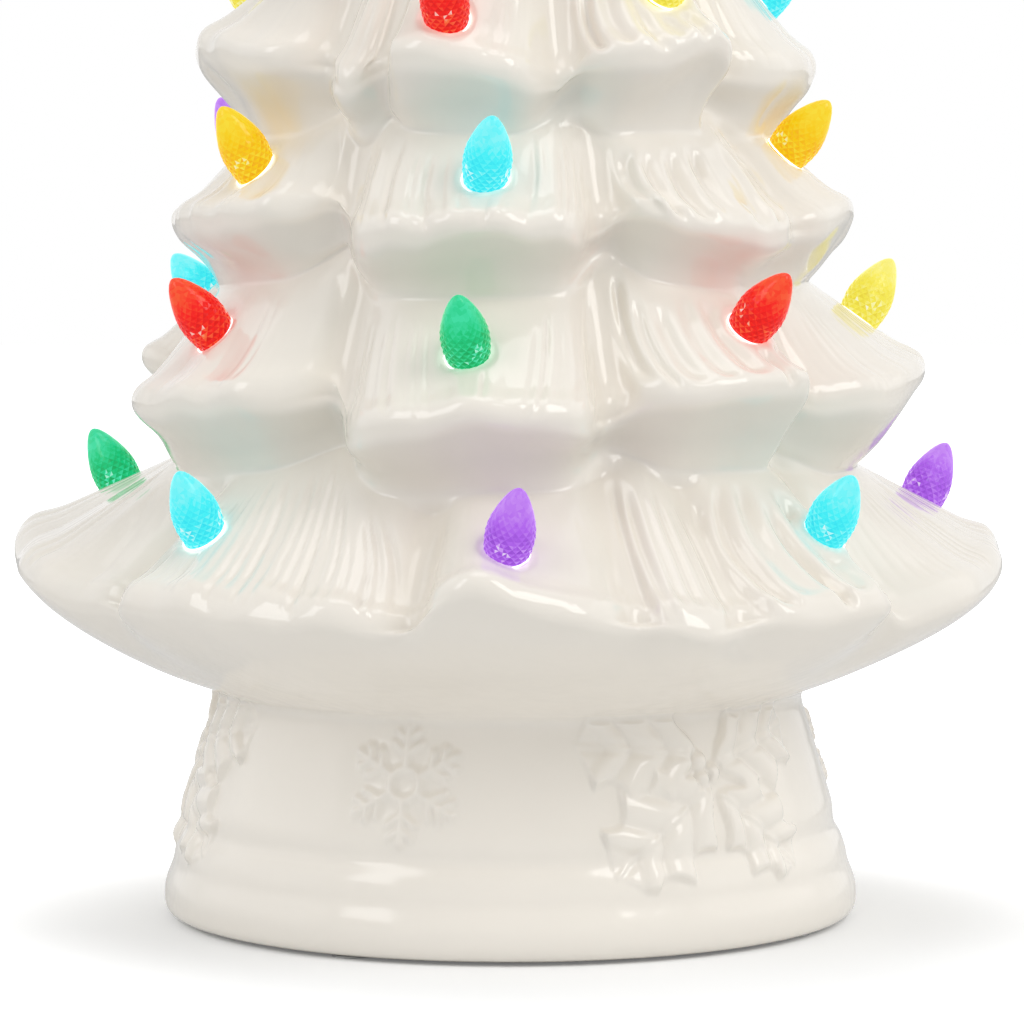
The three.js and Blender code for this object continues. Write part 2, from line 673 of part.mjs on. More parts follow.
function coverGeometry() {
  const outerWidth = WELL_WIDTH + WELL_WALL * 2;
  const outerLength = WELL_LENGTH + WELL_WALL * 2;
  const frameWidth = DOOR_WIDTH + WELL_WALL * 2;
  const frameLength = DOOR_LENGTH + WELL_WALL * 2;
  const added = [
    box(outerWidth, outerLength, WELL_TOP - COVER_BOTTOM, 0, 0, COVER_BOTTOM),
    box(frameWidth, frameLength, WELL_FLOOR + 1 - COVER_BOTTOM, 0, DOOR_MIDDLE, COVER_BOTTOM),
    rod(SCREW_HEAD_RADIUS + 1.2, SCREW_SHANK_LENGTH + 4, COVER_BOTTOM, 16).translate(0, SCREW_Y, 0),
    rod(POST_RADIUS + CLEARANCE + SOCKET_WALL, SOCKET_HEIGHT + 1, WELL_TOP - 1, 16),
    box(SWITCH_WIDTH + 4, SWITCH_LENGTH + 4, SWITCH_FRAME_HEIGHT, SWITCH_X, 0, COVER_BOTTOM),
  ];
  for (const side of [-1, 1]) {
    const y = side * (BOARD_LENGTH / 2 - 4);
    added.push(rod(2, BOARD_STANDOFF + 1, COVER_TOP - 1, 8).translate(BOARD_X, y, 0));
  }
  const recessWidth = DOOR_WIDTH + CLEARANCE * 2;
  const recessLength = DOOR_LENGTH + CLEARANCE * 2;
  const cut = [
    box(recessWidth, recessLength, RECESS_TOP - COVER_BOTTOM + 1, 0, DOOR_MIDDLE, COVER_BOTTOM - 1),
    box(WELL_WIDTH, WELL_LENGTH, WELL_ROOF - COVER_BOTTOM, 0, 0, COVER_BOTTOM),
    crossRod(HINGE_PIN_RADIUS + HINGE_CLEARANCE, HINGE_SPAN + CLEARANCE * 2, HINGE_Y, HINGE_Z),
    rod(SCREW_SHANK_RADIUS + CLEARANCE, SCREW_SHANK_LENGTH + 3, COVER_BOTTOM, 12).translate(0, SCREW_Y, 0),
    rod(POST_RADIUS + CLEARANCE, SOCKET_HEIGHT + 1, WELL_TOP, 16),
    slotForKnob(COVER_BOTTOM - 1),
    box(SWITCH_WIDTH + CLEARANCE * 2, SWITCH_LENGTH + CLEARANCE * 2, 8, SWITCH_X, 0, SWITCH_BAY),
  ];
  for (const end of [-1, 1]) {
    const slot = box(TAB_WIDTH + CLEARANCE * 2, WELL_WALL + 2, CONTACT_THICKNESS + CLEARANCE * 2);
    const y = (end * (WELL_LENGTH + WELL_WALL)) / 2;
    cut.push(slot.translate(cellX(end > 0 ? CELL_COUNT - 1 : 0), y, tabBottom() - CLEARANCE));
  }
  return combine(rod(REBATE_RADIUS - CLEARANCE, COVER_THICKNESS, COVER_BOTTOM, 48), added, cut);
}

// The tabs of the end contacts pass through the walls of the well above the middle of the cells
function tabBottom() {
  return CELL_AXIS + CONTACT_WIDTH / 2 - CONTACT_THICKNESS;
}

function doorGeometry() {
  // The outline lies in Y and Z, and is drawn out along X
  const outline = new THREE.Shape();
  outline.moveTo(DOOR_FRONT, -HINGE_RADIUS);
  outline.lineTo(DOOR_FRONT, HINGE_RADIUS);
  outline.lineTo(HINGE_Y, HINGE_RADIUS);
  outline.absarc(HINGE_Y, 0, HINGE_RADIUS, Math.PI / 2, (3 * Math.PI) / 2, false);
  outline.closePath();
  const flat = { depth: DOOR_WIDTH, bevelEnabled: false, curveSegments: 4 };
  const [x, y, z] = [new THREE.Vector3(1, 0, 0), new THREE.Vector3(0, 1, 0), new THREE.Vector3(0, 0, 1)];
  const plate = new THREE.ExtrudeGeometry(outline, flat).applyMatrix4(new THREE.Matrix4().makeBasis(y, z, x));
  plate.translate(-DOOR_WIDTH / 2, 0, HINGE_Z);
  const added = [crossRod(HINGE_PIN_RADIUS, HINGE_SPAN, HINGE_Y, HINGE_Z)];
  for (const side of [-1, 1]) {
    const height = WELL_FLOOR - CLEARANCE - HINGE_Z;
    added.push(box(WELL_WIDTH - 4, DOOR_RIB_WIDTH, height, 0, (side * CELL_LENGTH) / 4, HINGE_Z));
  }
  const headSpace = rod(SCREW_HEAD_RADIUS + CLEARANCE, SCREW_HEAD_HEIGHT + 1, SCREW_HEAD_BOTTOM - 1, 16);
  const shankSpace = rod(SCREW_SHANK_RADIUS + CLEARANCE, DOOR_THICKNESS + 2, COVER_BOTTOM - 1, 12);
  return combine(plate, added, [headSpace.translate(0, SCREW_Y, 0), shankSpace.translate(0, SCREW_Y, 0)]);
}

function screwGeometry() {
  const head = rod(SCREW_HEAD_RADIUS, SCREW_HEAD_HEIGHT - 0.1, SCREW_HEAD_BOTTOM, 16);
  const shankBottom = SCREW_HEAD_BOTTOM + SCREW_HEAD_HEIGHT - 0.6;
  const shank = rod(SCREW_SHANK_RADIUS, SCREW_SHANK_LENGTH + 0.5, shankBottom, 12);
  const slotLength = SCREW_HEAD_RADIUS * 1.5;
  const slots = [
    box(slotLength, SCREW_SLOT_WIDTH, SCREW_SLOT_DEPTH * 2, 0, 0, SCREW_HEAD_BOTTOM - SCREW_SLOT_DEPTH),
    box(SCREW_SLOT_WIDTH, slotLength, SCREW_SLOT_DEPTH * 2, 0, 0, SCREW_HEAD_BOTTOM - SCREW_SLOT_DEPTH),
  ];
  return combine(head, [shank], slots).translate(0, SCREW_Y, 0);
}

// A cell lies along Y, its plus end towards +Y
function cellGeometry() {
  const end = CELL_LENGTH / 2;
  const profile = [
    [0, -end],
    [CELL_RADIUS - 0.6, -end],
    [CELL_RADIUS, -end + 0.6],
    [CELL_RADIUS, end - 0.6],
    [CELL_RADIUS - 0.6, end],
    [CELL_NUB_RADIUS, end],
    [CELL_NUB_RADIUS, end + CELL_NUB_LENGTH],
    [0, end + CELL_NUB_LENGTH],
  ];
  return new THREE.LatheGeometry(
    profile.map(([radius, along]) => new THREE.Vector2(radius, along)),
    16,
  );
}

// A wire of square section along a path
function wireAlong(path, radius, steps) {
  const section = new THREE.Shape();
  section.moveTo(radius, 0);
  section.lineTo(0, radius);
  section.lineTo(-radius, 0);
  section.lineTo(0, -radius);
  section.closePath();
  return new THREE.ExtrudeGeometry(section, { steps, extrudePath: path, bevelEnabled: false });
}

// The winding of a conical contact spring along +Y
class SpringCurve extends THREE.Curve {
  constructor(wideRadius, narrowRadius, length) {
    super();
    Object.assign(this, { wideRadius, narrowRadius, length });
  }
  getPoint(share, target = new THREE.Vector3()) {
    const turn = share * SPRING_TURNS * Math.PI * 2;
    const radius = THREE.MathUtils.lerp(this.wideRadius, this.narrowRadius, share);
    return target.set(radius * Math.cos(turn), share * this.length, radius * Math.sin(turn));
  }
}

// A contact plate on an end wall of the well. It meets the listed cells with a spring at each minus end and
// a button at each plus end. The plates at the two ends of the circuit carry a tab through that wall.
function contactGeometry(cells, springCells, end, tabCell) {
  const wallY = end * (WELL_LENGTH / 2 - 0.1);
  const xs = cells.map(cellX);
  const middle = (xs[0] + xs.at(-1)) / 2;
  const width = xs.at(-1) - xs[0] + CONTACT_WIDTH;
  const plateY = wallY - (end * CONTACT_THICKNESS) / 2;
  const plate = box(width, CONTACT_THICKNESS, CONTACT_WIDTH, middle, plateY, CELL_AXIS - CONTACT_WIDTH / 2);
  const reach = CONTACT_SPACE - CONTACT_THICKNESS - CLEARANCE;
  const added = cells.map((cell) => {
    if (springCells.includes(cell)) {
      const path = new SpringCurve(3.6, 2, reach - SPRING_WIRE * 2);
      const spring = wireAlong(path, SPRING_WIRE, Math.round(SPRING_TURNS * SPRING_STEPS));
      const foot = wallY - end * (CONTACT_THICKNESS + SPRING_WIRE / 2);
      return spring.rotateZ(end > 0 ? Math.PI : 0).translate(cellX(cell), foot, CELL_AXIS);
    }
    const button = new THREE.CylinderGeometry(2, 2.6, reach, 10).rotateX(end > 0 ? Math.PI : 0);
    return button.translate(cellX(cell), wallY - end * (CONTACT_THICKNESS + reach / 2 - 0.1), CELL_AXIS);
  });
  if (tabCell !== undefined) {
    const tabY = wallY + end * (TAB_LENGTH / 2 - CONTACT_THICKNESS);
    added.push(box(TAB_WIDTH, TAB_LENGTH, CONTACT_THICKNESS, cellX(tabCell), tabY, tabBottom()));
  }
  return combine(plate, added);
}

function switchBodyGeometry() {
  const shell = box(SWITCH_WIDTH, SWITCH_LENGTH, SWITCH_HEIGHT, SWITCH_X, 0, SWITCH_FLOOR);
  const insideWidth = SWITCH_WIDTH - SWITCH_WALL * 2;
  const insideLength = SWITCH_LENGTH - SWITCH_WALL * 2;
  const inside = box(insideWidth, insideLength, SWITCH_HEIGHT / 2, SWITCH_X, 0, SWITCH_FLOOR + SWITCH_WALL);
  const pins = [-1, 0, 1].map((n) =>
    box(0.8, 0.8, SWITCH_PIN_LENGTH + 1, SWITCH_X, n * SWITCH_PIN_PITCH, SWITCH_FLOOR + SWITCH_HEIGHT - 1),
  );
  return combine(shell, pins, [inside, slotForKnob(SWITCH_FLOOR - 1)]);
}

function switchSliderGeometry() {
  const knobBottom = COVER_BOTTOM - 0.2;
  const shoeBottom = SWITCH_FLOOR + SWITCH_WALL + CLEARANCE;
  const shoeWidth = SWITCH_WIDTH - SWITCH_WALL * 2 - CLEARANCE * 2;
  const knobHeight = shoeBottom + 1 - knobBottom;
  const rest = SWITCH_TRAVEL / 2;
  const knob = box(SWITCH_KNOB_WIDTH, SWITCH_KNOB_LENGTH, knobHeight, SWITCH_X, rest, knobBottom);
  return combine(knob, [box(shoeWidth, SWITCH_KNOB_LENGTH + 1, 1.6, SWITCH_X, rest, shoeBottom)]);
}

function boardGeometry() {
  const board = box(BOARD_WIDTH, BOARD_LENGTH, BOARD_THICKNESS, BOARD_X, 0, BOARD_BOTTOM);
  const parts = [
    box(5, 6, 2, BOARD_X, 0, BOARD_TOP - 0.2),
    rod(3, 7, BOARD_TOP - 0.2, 12).translate(BOARD_X + 3, 10, 0),
    rod(3.4, 3.4, BOARD_TOP - 0.2, 12).translate(BOARD_X - 2, -7, 0),
  ];
  return combine(board, parts);
}

function postGeometry() {
  const bottom = WELL_TOP + CLEARANCE;
  const tube = rod(POST_RADIUS, POST_TOP - bottom, bottom, 16);
  return combine(tube, [], [rod(POST_RADIUS - POST_WALL, POST_TOP - bottom + 2, bottom - 1, 16)]);
}

// The strip runs up the front of the post, over its top and down the back
function stripGeometry() {
  const top = POST_TOP + CLEARANCE;
  const added = [];
  for (const side of [-1, 1]) {
    const length = top - STRIP_BOTTOM + STRIP_THICKNESS / 2;
    added.push(box(STRIP_WIDTH, STRIP_THICKNESS, length, 0, side * STRIP_FACE, STRIP_BOTTOM));
    const ledY = side * (STRIP_FACE + (STRIP_THICKNESS + LED_HEIGHT) / 2 - 0.1);
    for (let i = 0; i < LED_COUNT; i++) {
      const height = STRIP_BOTTOM + ((i + 0.5) * (top - STRIP_BOTTOM)) / LED_COUNT - LED_SIZE / 2;
      added.push(box(LED_SIZE, LED_HEIGHT + 0.2, LED_SIZE, 0, ledY, height));
    }
  }
  const bridge = box(STRIP_WIDTH, STRIP_FACE * 2 + STRIP_THICKNESS, STRIP_THICKNESS, 0, 0, top);
  return combine(bridge, added);
}

// One plug on the board, with leads to the LED strip, the switch and the two battery tabs
function harnessGeometry() {
  const plugTop = BOARD_TOP + CLEARANCE + PLUG_HEIGHT;
  const plug = box(9, 4, PLUG_HEIGHT, BOARD_X, PLUG_Y, BOARD_TOP + CLEARANCE);
  const roof = WELL_TOP + LEAD_RADIUS + CLEARANCE;
  const tabZ = tabBottom() + CONTACT_THICKNESS / 2;
  const tabY = WELL_LENGTH / 2 + TAB_LENGTH + CLEARANCE;
  const start = (x) => [BOARD_X + x, PLUG_Y, plugTop - 1];
  const leads = [
    [start(2), [-31, -14, plugTop + 12], [-20, -14, roof + 4], [-6, -11, roof + 14]],
    [start(3.5), [-26, -20, roof + 2], [0, -22, roof + 0.5], [26, -18, roof + 1]],
    [start(0.5), [-31, -4, plugTop + 3], [-30, 20, tabZ + 3], [-20, tabY + 6, tabZ + 2]],
    [start(-2), [BOARD_X, -24, plugTop + 4], [-32, -tabY, tabZ + 2]],
  ];
  const ends = [
    [0, -STRIP_FACE, STRIP_BOTTOM - CLEARANCE],
    [SWITCH_X, -SWITCH_PIN_PITCH, SWITCH_PIN_TOP + LEAD_RADIUS + CLEARANCE],
    [cellX(CELL_COUNT - 1), tabY, tabZ],
    [cellX(0), -tabY, tabZ],
  ];
  const wires = leads.map((points, i) => {
    const path = [...points, ends[i]].map(([x, y, z]) => new THREE.Vector3(x, y, z));
    return wireAlong(new THREE.CatmullRomCurve3(path), LEAD_RADIUS, 12);
  });
  return combine(plug, wires);
}

const tree = new THREE.Group();

function add(name, geometry, finish) {
  const mesh = new THREE.Mesh(geometry, finish);
  mesh.name = name;
  tree.add(mesh);
  return mesh;
}

const glaze = material("glaze", 0.12);
add("ceramic_casting", castingGeometry(), glaze);

TIERS.forEach((tier, tierIndex) => {
  tier.lamps.forEach((lamp, lampIndex) => {
    const colour = lamp.at(-1);
    const name = `lamp_${tierIndex + 1}_${lampIndex + 1}_${colour}`;
    add(name, lampGeometry(), material(colour, 0.25)).applyMatrix4(lampMatrix(lampSeat(tier, lamp)));
  });
});

add("star_topper", starGeometry(), material("yellow", 0.2));

for (let i = 0; i < PAD_COUNT; i++) {
  const pad = add(`foot_pad_${i + 1}`, rod(PAD_RADIUS, PAD_THICKNESS, 0, 16), material("clear", 0.3));
  pad.position.copy(atAngle(FIRST_PAD_ANGLE + (i * 360) / PAD_COUNT, (FOOT_RADIUS + REBATE_RADIUS) / 2, 0));
}

add("bottom_cover", coverGeometry(), material("plastic", 0.45));
add("battery_door", doorGeometry(), material("plastic", 0.45));
const nickel = material("nickel", 0.3, 1);
add("door_screw", screwGeometry(), nickel);

// The cells lie head to tail, each pushed a little towards its own plus end
for (let i = 0; i < CELL_COUNT; i++) {
  const turned = i % 2 === 1;
  const cell = add(`aa_cell_${i + 1}`, cellGeometry(), material("cell", 0.35));
  cell.position.set(cellX(i), ((turned ? 1 : -1) * CELL_NUB_LENGTH) / 2, CELL_AXIS);
  cell.rotation.z = turned ? Math.PI : 0;
}
add("contact_minus", contactGeometry([0], [0], -1, 0), nickel);
add("contact_link_front", contactGeometry([0, 1], [1], 1), nickel);
add("contact_link_back", contactGeometry([1, 2], [2], -1), nickel);
add("contact_plus", contactGeometry([2], [], 1, 2), nickel);

add("switch_body", switchBodyGeometry(), material("black", 0.4));
add("switch_slider", switchSliderGeometry(), material("black", 0.5));
add("driver_board", boardGeometry(), material("board", 0.5));
add("light_post", postGeometry(), material("plastic", 0.4));
add("led_strip", stripGeometry(), material("plastic", 0.4));
add("wire_harness", harnessGeometry(), material("wire", 0.5));

export default tree;
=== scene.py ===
"""Looks of the lighted ceramic christmas tree: its glaze, needles, reliefs, lamps, star and bottom.

Lengths are millimetres in the making of the meshes, and metres in the scene. Angles are in degrees from the
front of the tree, turning towards +X, as in the part.
"""

import math

import bmesh
import bpy
import numpy as np
from mathutils import Matrix, Vector


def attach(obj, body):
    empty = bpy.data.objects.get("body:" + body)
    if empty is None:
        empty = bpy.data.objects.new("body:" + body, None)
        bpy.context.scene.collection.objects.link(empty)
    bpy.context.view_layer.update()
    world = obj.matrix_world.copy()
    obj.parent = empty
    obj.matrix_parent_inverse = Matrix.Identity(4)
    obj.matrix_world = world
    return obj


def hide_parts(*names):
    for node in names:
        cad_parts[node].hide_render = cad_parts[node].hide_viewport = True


MM = 0.001
COLUMNS = 936
PHASES = 6.3  # a full turn in radians, rounded

# The foot, as in the part
PAD_THICKNESS = 0.5
FOOT_RADIUS = 85
FOOT_BULGE = 2.8
FOOT_STEP_HEIGHT = 14.5
FOOT_STEP_DEPTH = 1.6
BAND_HEIGHT = 23
BAND_DEPTH = 2.2
WAIST_RADIUS = 81.8
NECK_RADIUS = 73.2
NECK_HEIGHT = 57.5
REBATE_RADIUS = 72
REBATE_DEPTH = 3.9
OPENING_RADIUS = 62
FLANGE_THICKNESS = 3.6
CASTING_WALL = 6.5
CROWN_THICKNESS = 9
BORE_RADIUS = 3.5
SKIRT_CURVE = 1.55

# The tiers, as in the part. A bough is tip angle, out, up, valley angle, cut, sag, rise.
# A lamp is angle, how far it stands in from the tips, tilt, lean, colour.
# Needles are, bough by bough, how far apart the strands are, how deep the grooves between them are and how
# hollow the strands, and how many degrees they bow away from the tip of the bough half way down and at the hem.
TIERS = [
    dict(pitch=32.5, tip_radius=126, climb=26, root_radius=84, under_slope=0, cut=15, sag=7, boughs=[
        (-97, -1, 6.8, -56, 16, 8, 1.7),
        (-48, -7, -2.8, -11.8, 14, 7, 3.3),
        (-5, -4, 4.5, 15.5, 14, 7, 3.5),
        (23.5, -9, -8.5, 28, 12, 6.5),
        (46, -7, -4, 53.5, 16, 4, -6.5),
        (97, -2.5, 4.3, 116),
        (140, 0, 2, 160),
        (183, -4, 0, 206),
        (228, 0, 1, 242),
    ], needles=[
        (6.5, 0.55, 0.25, 4, 5),
        (3.6, 0.8, 0.1, 5, 7),
        (5, 0.3, 0.2, 3, 2),
        (5.5, 0.1, 1.2, 3, 2),
        (7, 0.1, 2.1, 6, 1),
        (4, 0.35, 0.1, 3, 3),
        (5, 0.6, 0.3, 3, 2),
        (5.5, 0.6, 0.3, 3, 3),
        (4.5, 0.7, 0.2, 4, 3),
    ], lamps=[
        (-103.5, 24, 28.5, 2.5, "green"),
        (-46.5, 25, 30, 3.5, "sky"),
        (-0.5, 18, 26.5, 10.5, "violet"),
        (48.5, 25.5, 34.5, -5.5, "sky"),
        (100.5, 19.5, 29.5, 14, "violet"),
        (139, 20, 27, 3, "red"),
        (181, 20, 27, 0, "amber"),
        (224, 20, 27, -3, "yellow"),
    ]),
    dict(pitch=46, tip_radius=104, climb=27, root_radius=71, under_slope=0.8, cut=18, sag=6, boughs=[
        (-110, -8, 4, -84, 20, -1, -8),
        (-66, -4.5, -6.5, -30, 20, 2, -10.5),
        (-4, -1, -5.5, 16.5, 19, 7.5, 4.2),
        (46, -4, 1.5, 50.5, 16, 4, -2),
        (92, 1.5, 2, 114),
        (138, 0, 0, 162),
        (190, 0, -1, 226),
    ], needles=[
        (5, 0.4, 0.2, 3, 3),
        (7, 0.45, 0.25, 5, 6),
        (3.8, 0.6, 0.1, 0, -4),
        (6.5, 0.1, 1.7, 4, 0),
        (4, 0.35, 0.1, 3, 2),
        (6, 0.5, 0.5, 3, 2),
        (5, 0.6, 0.3, 3, 2),
    ], lamps=[
        (-112, 21.5, 40, 0, "sky"),
        (-59.5, 20.5, 39.5, -2.5, "red"),
        (-6.5, 16.5, 37, -4, "green"),
        (42.5, 19.5, 41.5, 5.5, "red"),
        (93, 16, 31.5, 14, "yellow"),
        (140, 15, 32, 4, "amber"),
        (190, 15, 30, -4, "violet"),
    ]),
    dict(pitch=38, tip_radius=88, climb=24, root_radius=64, under_slope=0.8, cut=16, sag=5, boughs=[
        (-118, -1, 1, -98, 12, 4),
        (-72, -1.5, 1, -34.5, 16, -4, -8.5),
        (-5, 0, 1, 17.8, 16, 2, 7.3),
        (45, -3, -2.5, 58, 4, 1),
        (78, -0.5, 3, 96),
        (128, 0, 1, 156),
        (184, 0, 0, 212),
    ], needles=[
        (5, 0.5, 0.2, 3, 3),
        (7.5, 0.4, 0.2, 4, 4),
        (3.5, 0.6, 0.1, 1, -3),
        (6.5, 0.1, 1.5, 4, 0),
        (6, 0.3, 0.4, 4, 1),
        (5, 0.6, 0.3, 3, 2),
        (5, 0.6, 0.3, 3, 2),
    ], lamps=[
        (-110, 17.5, 30, 0, "violet"),
        (-58.5, 15, 32, 0, "amber"),
        (-4.5, 12.5, 33.5, 8.5, "sky"),
        (75, 17.5, 41.5, -10, "amber"),
        (128, 13, 32, -4, "green"),
        (188, 13, 30, 4, "red"),
    ]),
    dict(pitch=41, tip_radius=78, climb=26, root_radius=54, under_slope=0.7, cut=13, sag=6, boughs=[
        (-76, 2.5, 3, -40.5, 11, 3),
        (-34, -6, -8.5, -27, 11, 4, 4.5),
        (-20, -2, 0.5, 11, 12, 9, 6),
        (41, 0, 4, 50, 12, 5),
        (92, -1, -3.5, 118),
        (150, 0, 1, 180),
        (214, 0, -1, 252),
    ], needles=[
        (8, 0.35, 0.2, 4, 4),
        (3.2, 0.6, 0.1, 1, -1),
        (6, 0.3, 0.2, 1, -2),
        (6, 0.1, 1.4, 3, 0),
        (4, 0.3, 0.1, 3, 2),
        (5.5, 0.55, 0.3, 3, 2),
        (5, 0.6, 0.3, 3, 2),
    ], lamps=[
        (-97, 14.5, 30, 0, "yellow"),
        (-13, 11, 30, 0, "red"),
        (35, 14, 30, 0, "yellow"),
        (92, 15, 33, 0, "sky"),
        (172, 13, 32, 4, "violet"),
    ]),
    dict(pitch=40, tip_radius=68, climb=23, root_radius=43, under_slope=0.7, cut=11, sag=6, boughs=[
        (-44, 0, 1, -14),
        (20, 0, -1, 50),
        (94, 0, 2, 124),
        (166, 0, 0, 200),
        (238, 0, -1, 288),
    ], needles=[
        (5, 0.6, 0.3, 3, 2),
        (4.5, 0.6, 0.2, 3, 2),
        (5.5, 0.5, 0.5, 3, 2),
        (5, 0.6, 0.2, 3, 2),
        (4.5, 0.6, 0.3, 3, 2),
    ], lamps=[
        (-41, 13, 31, 3, "sky"),
        (19, 13, 30, -3, "green"),
        (92, 13, 31, 0, "red"),
        (165, 13, 30, 3, "amber"),
        (239, 13, 30, -3, "violet"),
    ]),
    dict(pitch=36, tip_radius=53, climb=22, root_radius=29, under_slope=0.7, cut=9, sag=5, boughs=[
        (-10, 0, 1, 28),
        (78, 0, -1, 118),
        (168, 0, 1, 212),
        (258, 0, 0, 318),
    ], needles=[
        (4.5, 0.6, 0.2, 3, 2),
        (5, 0.5, 0.4, 3, 2),
        (4.5, 0.6, 0.2, 3, 2),
        (5, 0.5, 0.3, 3, 2),
    ], lamps=[
        (-8, 12, 30, 2, "amber"),
        (78, 12, 30, -2, "violet"),
        (168, 12, 30, 3, "green"),
        (258, 12, 30, -3, "red"),
    ]),
    dict(pitch=31, tip_radius=36, climb=26, root_radius=10, under_slope=0.7, cut=7, sag=4, boughs=[
        (-58, 0, 0, 0),
        (58, 0, 1, 112),
        (178, 0, 0, 248),
    ], needles=[
        (4.5, 0.5, 0.3, 3, 1),
        (4, 0.55, 0.2, 3, 1),
        (4.5, 0.5, 0.3, 3, 1),
    ], lamps=[
        (-54, 11, 28, 0, "red"),
        (55, 11, 28, 0, "sky"),
        (178, 11, 28, 0, "yellow"),
    ]),
]

# What the glaze shows on the boughs
ROW_LENGTH = 0.95
LAP_WIDTH = 4  # degrees past a valley in which the next bough reaches its own height
LIP_REACH = 2.1  # what the smoothing of a hem takes off it
LIP_SOFTENING = 58  # rounds of smoothing at a hem
LIP_BAND = 7  # how far up from a hem the smoothing goes
LIP_WAVES = 0.65
SWELL_HEIGHT = 1.5  # the roll behind a hem
SWELL_PLACE = 6
SWELL_WIDTH = 4
ROW_CROWDING = 0.045  # how much closer the rows stand at the two ends of a slope
HEM_ROUNDING = 1.0  # degrees
BEAD_SOFTENING = 0.25
CREASE_SOFTENING = 2
FOLD_DEPTH = 2.4
FOLD_WIDTH = 5.5
STRAND_WIDTHS = (0.6, 1.45)  # least and most, as shares of the usual one
GROOVE_TOPS = (0.80, 0.98)  # where a groove starts, from 0 at the hem to 1 at the crease above
GROOVE_ENDS = (-0.02, 0.15)
UNDERSIDE_WAVES = 1.5
SKIRT_WAVES = 1.0
COVE_DEPTH = 2.2

# The glaze is glossy on the boughs and satin below them, where its colour is also painted lighter, as painted
# light on the foot under the skirt
GLAZE_ROUGHNESS = (0.10, 0.13)
SATIN_TOP = 56
SATIN_END = 70

# The reliefs on the foot
RELIEF_REPEAT = 120
RELIEF_END = 18
FLAKE_ANGLE = -19
FLAKE_HEIGHT = 42
FLAKE_ARM = 14
FLAKE_HUB = 3.7
FLAKE_RIDGE = 1.05
FLAKE_RISE = 1.25
FLAKE_BARBS = [(0.5, 4.2), (0.74, 3.4)]  # place along an arm, as a share of it, and length
BARB_LEAN = 52
BARB_RIDGE = 0.85  # as a share of an arm's
HOLLY_ANGLE = 37
HOLLY_HEIGHT = 41
LEAF_RISE = 1.9
# Along a leaf, as shares of its length and half width: its stem, three pairs of spines and its tip
LEAF_EDGE = [(0, 0.1), (0.24, 0.9), (0.52, 1), (0.8, 0.72), (1, 0)]
LEAF_SCALLOP = 0.27
VEIN_SLANT = 0.3  # how far forward a side vein runs by the leaf's edge, in leaf lengths
RIB_DEPTH = 0.9
RIB_WIDTH = 1.6
RIB_LINE = 0.8
RIB_LINE_WIDTH = 0.5
# A holly leaf is the direction that it points in, where its stem end lies, its length and its half width
HOLLY_LEAVES = [
    (174, (-1, 7), 35, 14),
    (215, (1, 0), 39, 14.5),
    (-38, (4, -3), 33, 12),
    (14, (4, 4), 34, 13),
]
HOLLY_BERRIES = [((-0.8, 5.2), 2.4), ((2.8, 2.2), 2.3), ((-0.6, 1.0), 2.1)]
BERRY_RISE = 1.8

# Lamps
LAMP_SINK = 2.4
LAMP_PEG_RADIUS = 3.2
LAMP_PEG_LENGTH = 8
LAMP_LENGTH = 17.9
LAMP_BASE_RADIUS = 4.7
LAMP_PROFILE = [(-2.4, LAMP_BASE_RADIUS), (-0.6, 5.1), (2.0, 5.6), (4.5, 5.85), (7.0, 5.75), (9.5, 5.25),
                (12.0, 4.4), (14.2, 3.4), (15.8, 2.5), (17.0, 1.6), (17.6, 0.9), (17.85, 0.4)]
FACETS_AROUND = 18
FACET_ROW = 1.08
FACET_TOP = 13.6
FACET_RISE = 0.22
PETALS = 3  # places around a lamp where its lit root shows as a bright flower
PETAL_LEVEL = 3.6
PETAL_HEIGHT = 1.7
PETAL_WIDTH = 24  # degrees
PETAL_SHARE = 0.3  # of the pieces in the middle of a petal that are bright
PETAL_SPARKS = (0.75, 0.98)
# How bright a facet is, from 0 to 1, and how that varies: between facets, between the upper and lower half of
# one, and between the pieces of one
FACET_SPARK = 0.36
FACET_SPREAD = 0.12
HALF_SPREAD = 0.16
PIECE_SPREAD = 0.08
CAP_SPARK = 0.6
PEG_SPARK = 0.4
LAMP_GLOW = 0.76
LAMP_BASE = 0.20  # a lamp's own colour, as a share of the colour of its light
SEAT_RING_RADIUS = 5.55
SEAT_RING_THICKNESS = 0.22
# Each lamp colour in its darkest, usual and brightest facets
LAMP_COLOURS = {
    "green": ((0.001, 0.34, 0.075), (0.006, 0.63, 0.22), (0.10, 0.95, 0.60)),
    "sky": ((0.020, 0.76, 0.92), (0.06, 0.94, 1.0), (0.46, 1.0, 1.0)),
    "violet": ((0.27, 0.05, 0.62), (0.46, 0.13, 0.90), (0.74, 0.42, 1.0)),
    "red": ((0.70, 0.003, 0.002), (1.0, 0.010, 0.006), (1.0, 0.22, 0.06)),
    "yellow": ((0.82, 0.66, 0.04), (0.97, 0.86, 0.08), (1.0, 0.98, 0.44)),
    "amber": ((0.95, 0.40, 0.0), (1.0, 0.63, 0.001), (1.0, 0.90, 0.07)),
}
SEED = 11

# The glaze around a lamp, on which the lamp's light is painted as a glow
SEAT_HEIGHT = 12  # how far up and down the lamp's axis it reaches
SEAT_REACH = 22  # how far out from the axis
SEAT_CLEARING = (6.0, 10.0)  # where the needles fade out
SEAT_DIP = 0.5
SEAT_DIP_EDGE = (7.6, 6.2)
HALO = (0.06, 1.6)  # strength, and how far it reaches out from the ring
HALO_EDGE = (0.18, 0.5)

# The star, as in the part
STAR_RADIUS = 19
STAR_FACE_RADIUS = 18.6
STAR_WAIST = 0.45
STAR_EDGE = 0.5
STAR_PEAK = 5.4
STAR_COLLAR_HEIGHT = 3
STAR_SINK = 2
